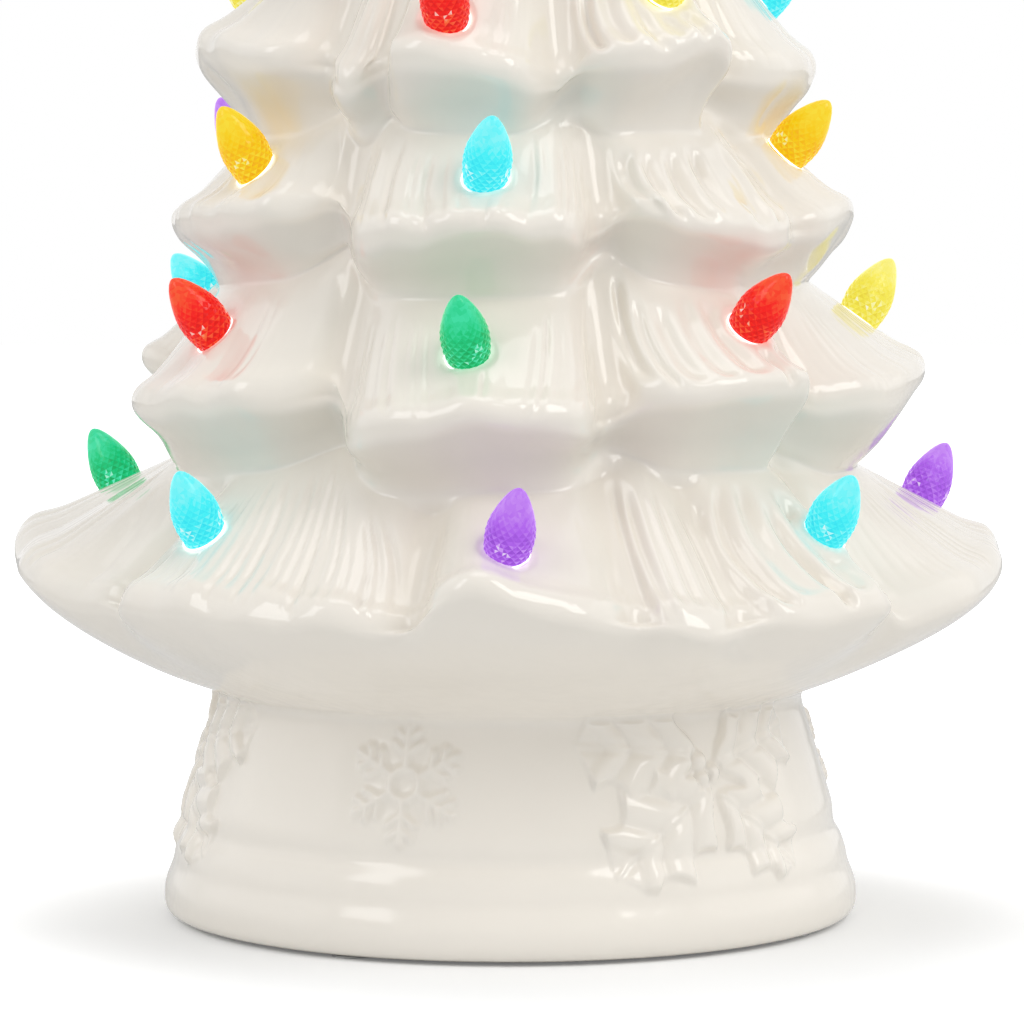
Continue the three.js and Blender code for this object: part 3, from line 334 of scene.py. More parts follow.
# The peg and collar of the star, as radius and height above the crown
STAR_COLLAR = [(2.7, -12), (3.2, -11.5), (3.2, 0.3), (5.2, 0.3), (5.5, 0.6), (5.5, 2.8), (5.2, 3.3), (3.4, 4.6),
               (2.5, 7.3)]

# Finishes of the CAD nodes that keep their own shapes: colour, roughness, and the scale, detail, strength and
# depth in metres of the grain
PLAIN_FINISHES = {
    "white_plastic": ((0.80, 0.80, 0.77), 0.42, (2600, 3, 0.3, 0.00008)),
    "clear_silicone": ((0.92, 0.93, 0.93), 0.28, (900, 2, 0.2, 0.0001)),
    "nickel": ((0.62, 0.60, 0.56), 0.22, (1800, 2, 0.15, 0.00005)),
    "black_plastic": ((0.022, 0.022, 0.024), 0.38, (2600, 3, 0.3, 0.00006)),
    "wire_jacket": ((0.03, 0.03, 0.035), 0.45, (1200, 2, 0.2, 0.00005)),
    "frosted_post": ((0.86, 0.87, 0.86), 0.5, (700, 2, 0.2, 0.0001)),
}
# The finish of each node, by the start of its name
NODE_FINISHES = {
    "bottom_cover": "white_plastic", "battery_door": "white_plastic", "foot_pad": "clear_silicone",
    "door_screw": "nickel", "contact": "nickel", "aa_cell": "cell_jacket", "switch": "black_plastic",
    "driver_board": "green_board", "wire_harness": "wire_jacket", "light_post": "frosted_post",
    "led_strip": "lit_strip",
}
SOFT_EDGED = ("bottom_cover", "battery_door", "switch_body", "switch_slider", "driver_board")

# Camera and light
WORLD_LIGHT = 0.49
FLOOR_LIFT = 0.14
FLOOR_MIDDLE = (0.012, -0.035, 0)  # the floor's shadow is kept most around here
FLOOR_FADE = (0.086, 0.235)
# Each softbox is its place, what it aims at, its size, its power and its colour
SOFTBOXES = {
    "right_softbox": ((0.80, -0.68, 1.05), (0, 0, 0.15), (0.50, 0.80), 5.2, (1, 0.99, 0.97)),
    "left_softbox": ((-0.85, -0.72, 0.95), (0, 0, 0.15), (0.42, 0.80), 2.9, (1, 1, 1)),
    "top_softbox": ((0.05, -0.12, 1.35), (0, 0, 0.1), (0.6, 0.6), 1.8, (1, 1, 1)),
    "right_fill": ((1.15, 0.10, 0.70), (0, 0, 0.05), (1.3, 1.0), 1.9, (1, 1, 1)),
    "left_fill": ((-1.15, 0.10, 0.70), (0, 0, 0.05), (1.3, 1.0), 1.7, (1, 1, 1)),
}
CAMERA_PLACE = (0.0004, -1.3, 0.206)
CAMERA_AIM = (0.0004, 0, 0.1017)
CAMERA_LENS = 181.4

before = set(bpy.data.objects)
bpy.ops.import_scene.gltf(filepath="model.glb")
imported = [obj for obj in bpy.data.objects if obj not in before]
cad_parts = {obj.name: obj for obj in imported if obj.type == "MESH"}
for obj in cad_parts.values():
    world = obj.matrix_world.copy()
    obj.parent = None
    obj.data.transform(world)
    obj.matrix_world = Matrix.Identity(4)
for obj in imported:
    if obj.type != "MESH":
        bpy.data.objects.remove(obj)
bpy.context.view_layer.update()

turns = np.arange(COLUMNS) * 360 / COLUMNS


def smooth(value, low, high):
    share = np.clip((value - low) / (high - low), 0, 1)
    return share * share * (3 - 2 * share)


def wrapped(degrees):
    return (degrees + 180) % 360 - 180


def waves(seed, level, turn, count=7, top=9):
    """A smooth field between about -1 and 1 that repeats after a full turn."""
    rng = np.random.default_rng(seed)
    total = 0
    for _ in range(count):
        around = rng.integers(1, top + 1)
        along = rng.uniform(-1, 1)
        total = total + np.sin(np.radians(turn) * around + level * along * PHASES + rng.uniform(0, PHASES))
    return total / math.sqrt(count)


def place_tiers():
    """Adds each tier's heights, which build up from the neck."""
    height = NECK_HEIGHT
    for tier in TIERS:
        height += tier["pitch"]
        tier["tip_height"] = height
        tier["root_height"] = height + tier["climb"]


def bough_terms(tier, turn):
    """For each angle: its bough's tip, how far it lies towards a valley, and what that valley does."""
    boughs = tier["boughs"]
    keys = ("share", "tip", "out", "up", "cut", "sag", "rise", "start", "number")
    terms = {key: np.zeros(turn.shape) for key in keys}
    found = np.zeros(turn.shape, bool)
    for number, bough in enumerate(boughs):
        before = boughs[number - 1]
        low = before[3] - (0 if number else 360)
        here = low + (turn - low) % 360
        inside = ~found & (here <= bough[3])
        found |= inside
        after = here > bough[0]
        for side, valley, reach in (
            (inside & after, bough, bough[3] - bough[0]),
            (inside & ~after, before, bough[0] - low),
        ):
            cut, sag, rise = valley[4:] + (tier["cut"], tier["sag"], 0)[len(valley[4:]):]
            terms["share"][side] = np.abs(here - bough[0])[side] / reach
            terms["cut"][side] = cut
            terms["sag"][side] = sag
            if valley is before:
                terms["rise"][side] = rise
                terms["start"][side] = smooth(here - low, 0, LAP_WIDTH)[side]
            terms["tip"][side] = (here - bough[0])[side]
            terms["out"][side] = bough[1]
            terms["up"][side] = bough[2]
            terms["number"][side] = number
    return terms


def hem(tier, turn):
    terms = bough_terms(tier, turn)
    share = terms["share"]
    fall = 0.45 * share**1.5 + 0.55 * smooth(share, 0.6, 1)
    out = terms["out"] + (-terms["cut"] - terms["out"]) * fall
    up = terms["up"] + (terms["rise"] * terms["start"] - terms["sag"] - terms["up"]) * share
    return tier["tip_radius"] + out, tier["tip_height"] + up


def upper_slope(tier, radius, height):
    return (radius - tier["root_radius"]) / (tier["root_height"] - height)


def crease(lower, upper, turn):
    """Where the upper slope of one tier meets the underside of the next: radius and height."""
    radius, height = hem(lower, turn)
    over_radius, over_height = hem(upper, turn)
    slope = upper_slope(lower, radius, height)
    under = upper["under_slope"]
    level = (radius + slope * height - over_radius + under * over_height) / (slope + under)
    return radius - slope * (level - height), level


def folds(tier, turn, radius):
    """How far the glazed surface dips along the valleys between the boughs."""
    depth = np.zeros(turn.shape)
    for valley in tier["boughs"]:
        away = np.radians(wrapped(turn - valley[3])) * radius
        depth -= FOLD_DEPTH * np.exp(-((away / FOLD_WIDTH) ** 2))
    return depth


def strands(tier, number):
    """The grooves of a tier: angle at the hem, depth, hollow of the strand after it, top and end."""
    rng = np.random.default_rng(SEED + number * 10)
    found = []
    for index, (bough, style) in enumerate(zip(tier["boughs"], tier["needles"])):
        spacing, groove, hollow = style[:3]
        place = tier["boughs"][index - 1][3] - (0 if index else 360)
        while place < bough[3]:
            deep, low = rng.uniform(0.3, 1.3), rng.uniform(0.5, 1.3)
            top, end = rng.uniform(*GROOVE_TOPS), rng.uniform(*GROOVE_ENDS)
            found.append((place, groove * deep, hollow * low, top, end))
            place += math.degrees(spacing / tier["tip_radius"]) * rng.uniform(*STRAND_WIDTHS)
    return np.array(found).T


def needles(tier, turn, share, number):
    """The carved needles of a tier: share is 0 at the hem and 1 at the crease above it."""
    if "strands" not in tier:
        tier["strands"] = strands(tier, number)
    places, groove, hollow, top, end = tier["strands"]
    terms = bough_terms(tier, turn)
    bow, drift = np.array(tier["needles"], float)[terms["number"].astype(int)].T[3:]
    fall = np.clip(1 - share, 0, 1)
    shift = bow * np.sin(np.pi / 2 * np.minimum(fall * 1.6, 1)) + (drift - bow) * fall**2 - drift
    strand = turn - shift * np.tanh(terms["tip"] / 7)
    strand = strand + 0.5 * waves(SEED + number * 10 + 1, share * 0.3, strand, top=20)
    strand = places[0] + (strand - places[0]) % 360
    before = np.searchsorted(places, strand, side="right") - 1
    after = (before + 1) % len(places)
    across = (strand - places[before]) / ((places[after] - places[before]) % 360)
    arch = np.sin(np.pi * np.clip(across, 0, 1))

    def strength(values, index):
        low, high = end[index], top[index]
        return values[index] * smooth(share, high, high - 0.2) * smooth(share, low, low + 0.12)

    depth = (strength(groove, before) * (1 - across) + strength(groove, after) * across) * (1 - arch)
    depth += strength(hollow, before) * arch**2
    uneven = np.clip(1 + 0.4 * waves(SEED + number * 10 + 2, share * 1.2, strand, top=60), 0.3, 1.5)
    return -depth * uneven * smooth(terms["share"], 1.0, 0.86)


def blurred(values, degrees):
    """Values around the tree, evened out over some degrees."""
    order = np.fft.rfftfreq(COLUMNS, 1 / COLUMNS)
    keep = np.exp(-2 * (math.pi * degrees / 360 * order) ** 2)
    return np.fft.irfft(np.fft.rfft(values) * keep, COLUMNS)


def lip(tier):
    """The hem before its smoothing, which draws it in."""
    radius, height = (blurred(line, HEM_ROUNDING) for line in hem(tier, turns))
    uneven = LIP_WAVES * waves(SEED + int(tier["tip_radius"]), 0, turns, count=9, top=42)
    return radius + LIP_REACH + uneven * 0.5, height + uneven


class Rows:
    """The casting's rows, each one ring of points around the tree, from the foot up and down again inside."""

    def __init__(self):
        self.radius = []
        self.height = []
        self.raised = []
        self.soft = []
        self.pool = []

    def add(self, radius, height, raised=0.0, soft=0.0, pool=0.0):
        full = np.ones(COLUMNS)
        self.radius.append(radius * full)
        self.height.append(height * full)
        self.raised.append(raised * full)
        self.soft.append(soft)
        self.pool.append(pool)


def along(points, step):
    """Points at even steps along a line of (radius, height) points."""
    points = np.array(points, float)
    length = np.concatenate([[0], np.cumsum(np.hypot(*np.diff(points, axis=0).T))])
    count = max(int(length[-1] / step), 2)
    places = np.linspace(0, length[-1], count)
    return np.interp(places, length, points[:, 0]), np.interp(places, length, points[:, 1])


def foot_line():
    """The outline of the foot and waist, as (radius, height)."""
    bulge = FOOT_RADIUS + FOOT_BULGE
    step = bulge - FOOT_STEP_DEPTH
    waist = WAIST_RADIUS
    return [
        (FOOT_RADIUS, PAD_THICKNESS),
        (FOOT_RADIUS + 1.3, PAD_THICKNESS + 0.3),
        (bulge - 0.5, PAD_THICKNESS + 1.6),
        (bulge, PAD_THICKNESS + 3.4),
        (bulge - 0.2, FOOT_STEP_HEIGHT - 6),
        (step - 0.1, FOOT_STEP_HEIGHT - 2),
        (step - 1.2, FOOT_STEP_HEIGHT),
        (step - 0.9, FOOT_STEP_HEIGHT + 1.4),
        (step - 1.1, FOOT_STEP_HEIGHT + 2.8),
        (step - 1.9, FOOT_STEP_HEIGHT + 4),
        (step - 2.0, BAND_HEIGHT - 3.2),
        (step - 2.6, BAND_HEIGHT - 1.6),
        (step - 2.2 - BAND_DEPTH, BAND_HEIGHT),
        (waist - 0.1, BAND_HEIGHT + 2.4),
        (waist, BAND_HEIGHT + 5),
        (waist - 2.2, BAND_HEIGHT + 12),
        (waist - 5.3, BAND_HEIGHT + 22),
        (NECK_RADIUS + 0.6, NECK_HEIGHT - 3.5),
        (NECK_RADIUS, NECK_HEIGHT),
    ]


def leaf_height(across, up, leaf):
    """The relief of one holly leaf at points of the foot's unrolled surface."""
    direction, (x, y), length, half_width = leaf
    turn = math.radians(direction)
    forward = ((across - x) * math.cos(turn) + (up - y) * math.sin(turn)) / length
    beside = -(across - x) * math.sin(turn) + (up - y) * math.cos(turn)
    inside = np.clip(forward, 0, 1)
    places, widths = np.array(LEAF_EDGE).T
    scallop = np.sin(np.pi * (np.interp(inside, places, np.arange(len(places))) % 1))
    edge = half_width * (np.interp(inside, places, widths) - LEAF_SCALLOP * scallop * smooth(inside, 0, 0.3))
    blade = smooth(edge - np.abs(beside), -0.2, 1.0) * smooth(forward, -0.04, 0.0) * smooth(forward, 1.04, 0.99)
    slant = VEIN_SLANT * (np.abs(beside) / half_width - 1)
    lobes = np.abs(np.sin(np.pi * (np.interp(forward - slant, places, np.arange(len(places)))))) ** 0.7
    rib = RIB_LINE * np.exp(-((beside / RIB_LINE_WIDTH) ** 2))
    rib = rib - RIB_DEPTH * np.exp(-((beside / RIB_WIDTH) ** 2))
    return blade * (LEAF_RISE * (0.3 + 0.7 * lobes) + rib * smooth(forward, 1.0, 0.85))


def holly(across, up):
    height = np.zeros(across.shape)
    for leaf in HOLLY_LEAVES:
        height = np.maximum(height, leaf_height(across, up, leaf))
    for (x, y), radius in HOLLY_BERRIES:
        reach = ((across - x) ** 2 + (up - y) ** 2) / radius**2
        dome = np.sqrt(np.clip(1 - reach, 0, 1)) * BERRY_RISE
        height = np.maximum(height * smooth(reach, 1.0, 1.4), dome)
    return height


def ridge(across, up, start, end, width):
    """A rounded ridge along a straight line."""
    start, end = np.array(start), np.array(end)
    line = end - start
    share = np.clip(((across - start[0]) * line[0] + (up - start[1]) * line[1]) / (line @ line), 0, 1)
    away = np.hypot(across - start[0] - share * line[0], up - start[1] - share * line[1])
    return np.exp(-((away / width) ** 2))


def snowflake(across, up):
    away = np.hypot(across, up)
    height = np.exp(-(((away - FLAKE_HUB) / FLAKE_RIDGE) ** 2))
    for arm in range(6):
        turn = math.radians(arm * 60 + 90)
        out = np.array([math.cos(turn), math.sin(turn)])
        height = np.maximum(height, ridge(across, up, out * FLAKE_HUB, out * FLAKE_ARM, FLAKE_RIDGE))
        for place, length in FLAKE_BARBS:
            for side in (-1, 1):
                lean = turn + side * math.radians(BARB_LEAN)
                barb = out * FLAKE_ARM * place
                end = barb + np.array([math.cos(lean), math.sin(lean)]) * length
                height = np.maximum(height, ridge(across, up, barb, end, FLAKE_RIDGE * BARB_RIDGE))
    return height * FLAKE_RISE


def foot_relief(turn, radius, height):
    raised = np.zeros(turn.shape)
    for repeat in range(3):
        across = np.radians(wrapped(turn - FLAKE_ANGLE - repeat * RELIEF_REPEAT)) * radius
        raised = np.maximum(raised, snowflake(across, height - FLAKE_HEIGHT))
        across = np.radians(wrapped(turn - HOLLY_ANGLE - repeat * RELIEF_REPEAT)) * radius
        raised = np.maximum(raised, holly(across, height - HOLLY_HEIGHT))
    return raised


def add_foot(rows):
    for radius, height in zip(*along(foot_line(), 0.55)):
        raised = foot_relief(turns, radius, height)
        raised = raised * smooth(height, RELIEF_END - 2, RELIEF_END)
        rows.add(radius, height, raised, soft=BEAD_SOFTENING)


def add_skirt(rows):
    """The hollow curve from the neck out to the lowest hem."""
    radius, height = lip(TIERS[0])
    count = int(60 / ROW_LENGTH)
    for index in range(1, count):
        share = index / count
        out = 1 - (1 - share) ** SKIRT_CURVE
        rows.add(
            NECK_RADIUS + (blurred(radius, 7 * (1 - share)) - NECK_RADIUS) * out,
            NECK_HEIGHT + (blurred(height, 7 * (1 - share)) - NECK_HEIGHT) * share,
            SKIRT_WAVES * waves(SEED + 80, share * 0.5, turns, top=12) * smooth(share, 0, 0.3) * (1 - share),
            soft=smooth(share, 0.9, 1),
        )


def add_tier(rows, number):
    tier = TIERS[number]
    radius, height = lip(tier)
    if number + 1 < len(TIERS):
        end_radius, end_height = (blurred(line, 1.2) for line in crease(tier, TIERS[number + 1], turns))
    else:
        end_radius = np.full(COLUMNS, float(tier["root_radius"]))
        end_height = np.full(COLUMNS, tier["root_height"] - 1.5)
    length = np.hypot(radius - end_radius, end_height - height).mean()
    count = int(length / ROW_LENGTH)
    for index in range(count):
        # rows stand closer together at the two ends, where the surface turns
        place = index / count - ROW_CROWDING * math.sin(2 * math.pi * index / count)
        swell = SWELL_HEIGHT * np.exp(-((place * length - SWELL_PLACE) / SWELL_WIDTH) ** 2)
        at_radius = radius + (end_radius - radius) * place + swell * 0.75
        at_height = height + (end_height - height) * place + swell * 0.6
        fade = smooth(place, 1.0, 0.93)
        raised = needles(tier, turns, place, number) + folds(tier, turns, at_radius) * fade
        rows.add(at_radius, at_height, raised, soft=smooth(place * length, LIP_BAND, 0))
    if number + 1 < len(TIERS):
        add_underside(rows, number + 1, end_radius, end_height)


def add_underside(rows, number, from_radius, from_height):
    tier = TIERS[number]
    radius, height = lip(tier)
    length = np.hypot(radius - from_radius, height - from_height).mean()
    count = int(length / ROW_LENGTH)
    for index in range(count):
        share = index / count
        cove = COVE_DEPTH * 4 * share * (1 - share)
        edge = blurred(radius, 2.5 * (1 - share))
        level = blurred(height, 2.5 * (1 - share))
        drop = needles(tier, turns, 0.0, number) * smooth(share, 0.82, 1.0)
        lumps = waves(SEED + 90 + number, share * 0.6, turns, top=18)
        lumps = UNDERSIDE_WAVES * lumps * 4 * share * (1 - share)
        rows.add(
            from_radius + (edge - from_radius) * share - cove,
            from_height + (level - from_height) * share,
            drop + lumps + folds(tier, turns, radius) * smooth(share, 0.2, 1) * 0.7,
            soft=smooth(share, 0.7, 1),
            # painted shade: the glaze is darker across the middle of each underside, under the hem
            pool=smooth(share, 0, 0.5) * smooth(share, 1, 0.8),
        )


def add_inside(rows):
    """From the crown down the bore, the cavity, the flange and the rebate to the rim."""
    crown = TIERS[-1]["root_height"]
    top_radius = TIERS[-1]["root_radius"]
    for radius, height in [(top_radius - 0.4, crown - 0.6), (top_radius - 1.5, crown - 0.1)]:
        rows.add(radius, height)
    for radius in (top_radius - 3, BORE_RADIUS + 0.4):
        rows.add(radius, crown)
    for height in (crown - 0.4, crown - 3, crown - CROWN_THICKNESS):
        rows.add(BORE_RADIUS, height)
    for number in range(len(TIERS) - 1, -1, -1):
        radius, height = hem(TIERS[number], turns)
        if number + 1 < len(TIERS):
            next_radius, next_height = crease(TIERS[number], TIERS[number + 1], turns)
            rows.add(narrowest(next_radius) - CASTING_WALL, next_height.mean())
        rows.add(narrowest(radius) - CASTING_WALL * 1.2, height.mean())
    floor = PAD_THICKNESS + REBATE_DEPTH + FLANGE_THICKNESS
    for radius, height in [
        (NECK_RADIUS + 8, NECK_HEIGHT + 13),
        (NECK_RADIUS - CASTING_WALL, NECK_HEIGHT - 2),
        (WAIST_RADIUS - CASTING_WALL, BAND_HEIGHT),
        (FOOT_RADIUS - 5, floor + 0.5),
        (FOOT_RADIUS - 5.5, floor),
        (OPENING_RADIUS + 0.4, floor),
        (OPENING_RADIUS, floor - 0.4),
        (OPENING_RADIUS, PAD_THICKNESS + REBATE_DEPTH + 0.4),
        (OPENING_RADIUS + 0.4, PAD_THICKNESS + REBATE_DEPTH),
        (REBATE_RADIUS - 0.4, PAD_THICKNESS + REBATE_DEPTH),
        (REBATE_RADIUS, PAD_THICKNESS + REBATE_DEPTH - 0.4),
        (REBATE_RADIUS, PAD_THICKNESS + 0.5),
        (REBATE_RADIUS + 0.5, PAD_THICKNESS),
        (REBATE_RADIUS + 1.5, PAD_THICKNESS),
        (FOOT_RADIUS - 3, PAD_THICKNESS),
    ]:
        rows.add(radius, height)


def narrowest(radius):
    """The least radius within 12 degrees on either side."""
    reach = int(12 * COLUMNS / 360)
    low = radius.copy()
    for shift in range(-reach, reach + 1, 4):
        low = np.minimum(low, np.roll(radius, shift))
    return low


def soften(values, soft, rounds):
    """Rounds of smoothing along the columns, on the rows marked soft."""
    weight = np.clip(soft, 0, 1)[:, None]
    for _ in range(rounds):
        middle = (np.roll(values, 1, axis=0) + np.roll(values, -1, axis=0)) / 2
        values = values + weight * 0.5 * (middle - values)
    return values


def seat(tier, lamp):
    """Where a lamp stands: its place on the upper slope, and its axis."""
    angle, setback, tilt, lean, _ = lamp
    turn = np.array([float(angle)])
    edge_radius, edge_height = hem(tier, turn)
    radius = tier["tip_radius"] - setback
    height = edge_height[0] + (edge_radius[0] - radius) / upper_slope(tier, edge_radius, edge_height)[0]
    outward = Vector((math.sin(math.radians(angle)), -math.cos(math.radians(angle)), 0))
    up = Vector((0, 0, 1))
    axis = up * math.cos(math.radians(tilt)) + outward * math.sin(math.radians(tilt))
    axis += up.cross(outward) * math.sin(math.radians(lean))
    return outward * radius + up * height, axis.normalized()


def slope_normal(tier, lamp):
    """The way that the upper slope faces under a lamp."""
    turn = math.radians(lamp[0])
    radius, height = hem(tier, np.array([float(lamp[0])]))
    lean = math.atan(upper_slope(tier, radius, height)[0])
    outward = Vector((math.sin(turn), -math.cos(turn), 0))
    return outward * math.cos(lean) + Vector((0, 0, math.sin(lean)))


def lamp_names():
    for tier_number, tier in enumerate(TIERS):
        for lamp_number, lamp in enumerate(tier["lamps"]):
            yield tier, lamp, f"lamp_{tier_number + 1}_{lamp_number + 1}_{lamp[4]}"


def grid_mesh(name, points, attributes):
    """A closed mesh through rows and columns of points that both run round."""
    rows, columns = points.shape[:2]
    row, column = np.meshgrid(np.arange(rows), np.arange(columns), indexing="ij")
    next_row, next_column = (row + 1) % rows, (column + 1) % columns
    faces = np.stack([
        row * columns + column,
        row * columns + next_column,
        next_row * columns + next_column,
        next_row * columns + column,
    ], axis=-1).reshape(-1, 4)
    mesh = bpy.data.meshes.new(name)
    mesh.vertices.add(rows * columns)
    mesh.vertices.foreach_set("co", (points * MM).reshape(-1).astype(np.float32))
    mesh.loops.add(faces.size)
    mesh.loops.foreach_set("vertex_index", faces.reshape(-1).astype(np.int32))
    mesh.polygons.add(len(faces))
    mesh.polygons.foreach_set("loop_start", np.arange(0, faces.size, 4, dtype=np.int32))
    mesh.polygons.foreach_set("use_smooth", np.ones(len(faces), bool))
    mesh.update(calc_edges=True)
    layer = mesh.uv_layers.new(name="UVMap")
    across = np.stack([column, column + 1, column + 1, column], axis=-1) / columns
    upward = np.stack([row, row, row + 1, row + 1], axis=-1) / rows
    layer.data.foreach_set("uv", np.stack([across, upward], axis=-1).reshape(-1).astype(np.float32))
    for key, values in attributes.items():
        if values.ndim == 2:
            mesh.attributes.new(key, "FLOAT", "POINT").data.foreach_set("value", values.reshape(-1))
        else:
            colour = np.concatenate([values, np.ones(values.shape[:2] + (1,))], axis=-1)
            mesh.attributes.new(key, "FLOAT_COLOR", "POINT").data.foreach_set("color", colour.reshape(-1))
    return added(name, mesh)


def added(name, data):
    """A new object in the scene."""
    thing = bpy.data.objects.new(name, data)
    bpy.context.scene.collection.objects.link(thing)
    return thing


def finished_mesh(bm, name):
    mesh = bpy.data.meshes.new(name)
    bm.to_mesh(mesh)
    bm.free()
    return mesh


def casting():
    rows = Rows()
    add_foot(rows)
    add_skirt(rows)
    for number in range(len(TIERS)):
        add_tier(rows, number)
    outer = len(rows.soft)
    add_inside(rows)
    soft = np.array([np.mean(value) for value in rows.soft])
    radius = soften(np.array(rows.radius), soft, LIP_SOFTENING)
    height = soften(np.array(rows.height), soft, LIP_SOFTENING)
    everywhere = np.zeros(len(soft))
    everywhere[1:outer] = 1
    radius = soften(radius, everywhere, CREASE_SOFTENING)
    height = soften(height, everywhere, CREASE_SOFTENING)
    raised = soften(np.array(rows.raised), everywhere, 1)
    angle = np.radians(turns)[None, :]
    points = np.stack([radius * np.sin(angle), -radius * np.cos(angle), height], axis=-1)
    around = np.roll(points, -1, axis=1) - np.roll(points, 1, axis=1)
    upward = np.roll(points, -1, axis=0) - np.roll(points, 1, axis=0)
    normal = np.cross(around, upward)
    normal /= np.maximum(np.linalg.norm(normal, axis=-1, keepdims=True), 1e-9)
    glow = np.zeros(points.shape)
    for tier, lamp, _ in lamp_names():
        place, axis = seat(tier, lamp)
        away = points - np.array(place)
        level = away @ np.array(axis)
        distance = np.linalg.norm(away - level[..., None] * np.array(axis), axis=-1)
        near = (np.abs(level) < SEAT_HEIGHT) & (distance < SEAT_REACH)
        raised = np.where(near, raised * smooth(distance, *SEAT_CLEARING), raised)
        raised = raised - np.where(near, SEAT_DIP * smooth(distance, *SEAT_DIP_EDGE), 0)
        # painted light: the glaze round each lamp glows in the lamp's colour, fading out from the seat ring,
        # with a pale bright edge next to it
        beyond = np.maximum(distance - SEAT_RING_RADIUS, 0)
        halo = np.where(near, HALO[0] * np.exp(-beyond / HALO[1]), 0)
        edge = np.where(near, HALO_EDGE[0] * np.exp(-(beyond / HALO_EDGE[1]) ** 2), 0)
        colour = np.array(LAMP_COLOURS[lamp[4]][2])
        glow += halo[..., None] * colour + edge[..., None] * (0.5 + 0.5 * colour)
    points = points + normal * raised[..., None]
    bare = np.array([1.0 if 0 < h <= PAD_THICKNESS + 0.25 else 0.0 for h in height.mean(axis=1)])
    bare[outer:] = 1.0
    bare, pool = (np.repeat(np.array(line)[:, None], COLUMNS, axis=1) for line in (bare, rows.pool))
    return grid_mesh("glazed_casting", points, {"hollow": -raised, "pool": pool, "bare": bare, "glow": glow})


def fill(tree, node, values):
    """Gives a node's sockets plain values, or what other nodes give."""
    for socket, value in values.items():
        if isinstance(value, bpy.types.NodeSocket):
            tree.links.new(value, node.inputs[socket])
        else:
            node.inputs[socket].default_value = value


def add_node(tree, kind, values=None, **settings):
    node = tree.nodes.new("ShaderNode" + kind)
    for key, value in settings.items():
        setattr(node, key, value)
    fill(tree, node, values or {})
    return node


def shade(tree, values):
    fill(tree, tree.nodes["Principled BSDF"], values)


def new_material(name, base, roughness):
    """A material, and its tree of nodes."""
    material = bpy.data.materials.new(name)
    material.use_nodes = True
    shade(material.node_tree, {"Base Color": (*base, 1), "Roughness": roughness})
    return material, material.node_tree


def own_place(tree):
    return add_node(tree, "TexCoord").outputs["Object"]


def attribute(tree, name, output="Fac"):
    return add_node(tree, "Attribute", attribute_name=name).outputs[output]


def noise(tree, scale, detail):
    values = {"Vector": own_place(tree), "Scale": scale, "Detail": detail}
    return add_node(tree, "TexNoise", values).outputs["Fac"]


def ramp(tree, source, stops):
    node = add_node(tree, "ValToRGB", {"Fac": source})
    while len(node.color_ramp.elements) < len(stops):
        node.color_ramp.elements.new(0.5)
    for element, (level, colour) in zip(node.color_ramp.elements, stops):
        element.position = level
        element.color = (*colour, 1)
    return node.outputs["Color"]


def grain(tree, scale, detail, strength, distance):
    """The fine unevenness of a surface."""
    values = {"Height": noise(tree, scale, detail), "Strength": strength, "Distance": distance}
    shade(tree, {"Normal": add_node(tree, "Bump", values).outputs["Normal"]})


def mapped(tree, source, given, wanted, **settings):
    """A value carried over from one range to another, and held at its ends."""
    ends = dict(zip(("From Min", "From Max", "To Min", "To Max"), given + wanted))
    return add_node(tree, "MapRange", {"Value": source, **ends}, **settings).outputs["Result"]


def mixed(tree, factor, first, second):
    """A colour between two, by a factor. Each colour is a socket or a plain colour."""
    # the node has several sockets of one name, and 6, 7 and 2 are those of the colours
    first, second = ((*colour, 1) if isinstance(colour, tuple) else colour for colour in (first, second))
    return add_node(tree, "Mix", {"Factor": factor, 6: first, 7: second}, data_type="RGBA").outputs[2]


def glaze_material():
    material, tree = new_material("ivory_glaze", (0.88, 0.845, 0.775), 0.09)
    # the glaze is darker the deeper a groove, fold or dip and lighter on raised ridges and reliefs: partly
    # glaze lying thicker in the hollows, partly painted shade
    groove_shade = ramp(tree, mapped(tree, attribute(tree, "hollow"), (-0.6, 2.4), (0, 1)), [
        (0.0, (0.93, 0.89, 0.825)),
        (0.25, (0.905, 0.855, 0.775)),
        (1.0, (0.84, 0.775, 0.68)),
    ])
    glaze = mixed(tree, noise(tree, 22, 3), groove_shade, (0.895, 0.845, 0.765))
    height = add_node(tree, "SeparateXYZ", {"Vector": own_place(tree)}).outputs["Z"]
    low = mapped(tree, height, (SATIN_TOP * MM, SATIN_END * MM), (1, 0))
    # painted light: the glaze of the foot, in the skirt's shade, is mixed towards a lighter colour
    glaze = mixed(tree, low, glaze, (0.97, 0.92, 0.84))
    # painted shade under the tiers: the glaze is mixed towards a darker colour in the middle of each underside
    glaze = mixed(tree, attribute(tree, "pool"), glaze, (0.80, 0.76, 0.69))
    bare = attribute(tree, "bare")
    satin = mapped(tree, low, (0, 1), GLAZE_ROUGHNESS)
    shade(tree, {
        "Base Color": mixed(tree, bare, glaze, (0.72, 0.66, 0.58)),
        "Roughness": mixed(tree, bare, satin, (0.75, 0.75, 0.75)),
        "Specular IOR Level": 0.42,
        "Coat Weight": 0.18,
        "Coat Roughness": 0.06,
        # painted light from the lamps, glowing on the glaze round their seats
        "Emission Color": attribute(tree, "glow", "Color"),
        "Emission Strength": 0.9,
    })
    grain(tree, 95, 2, 0.35, 0.0006)
    return material


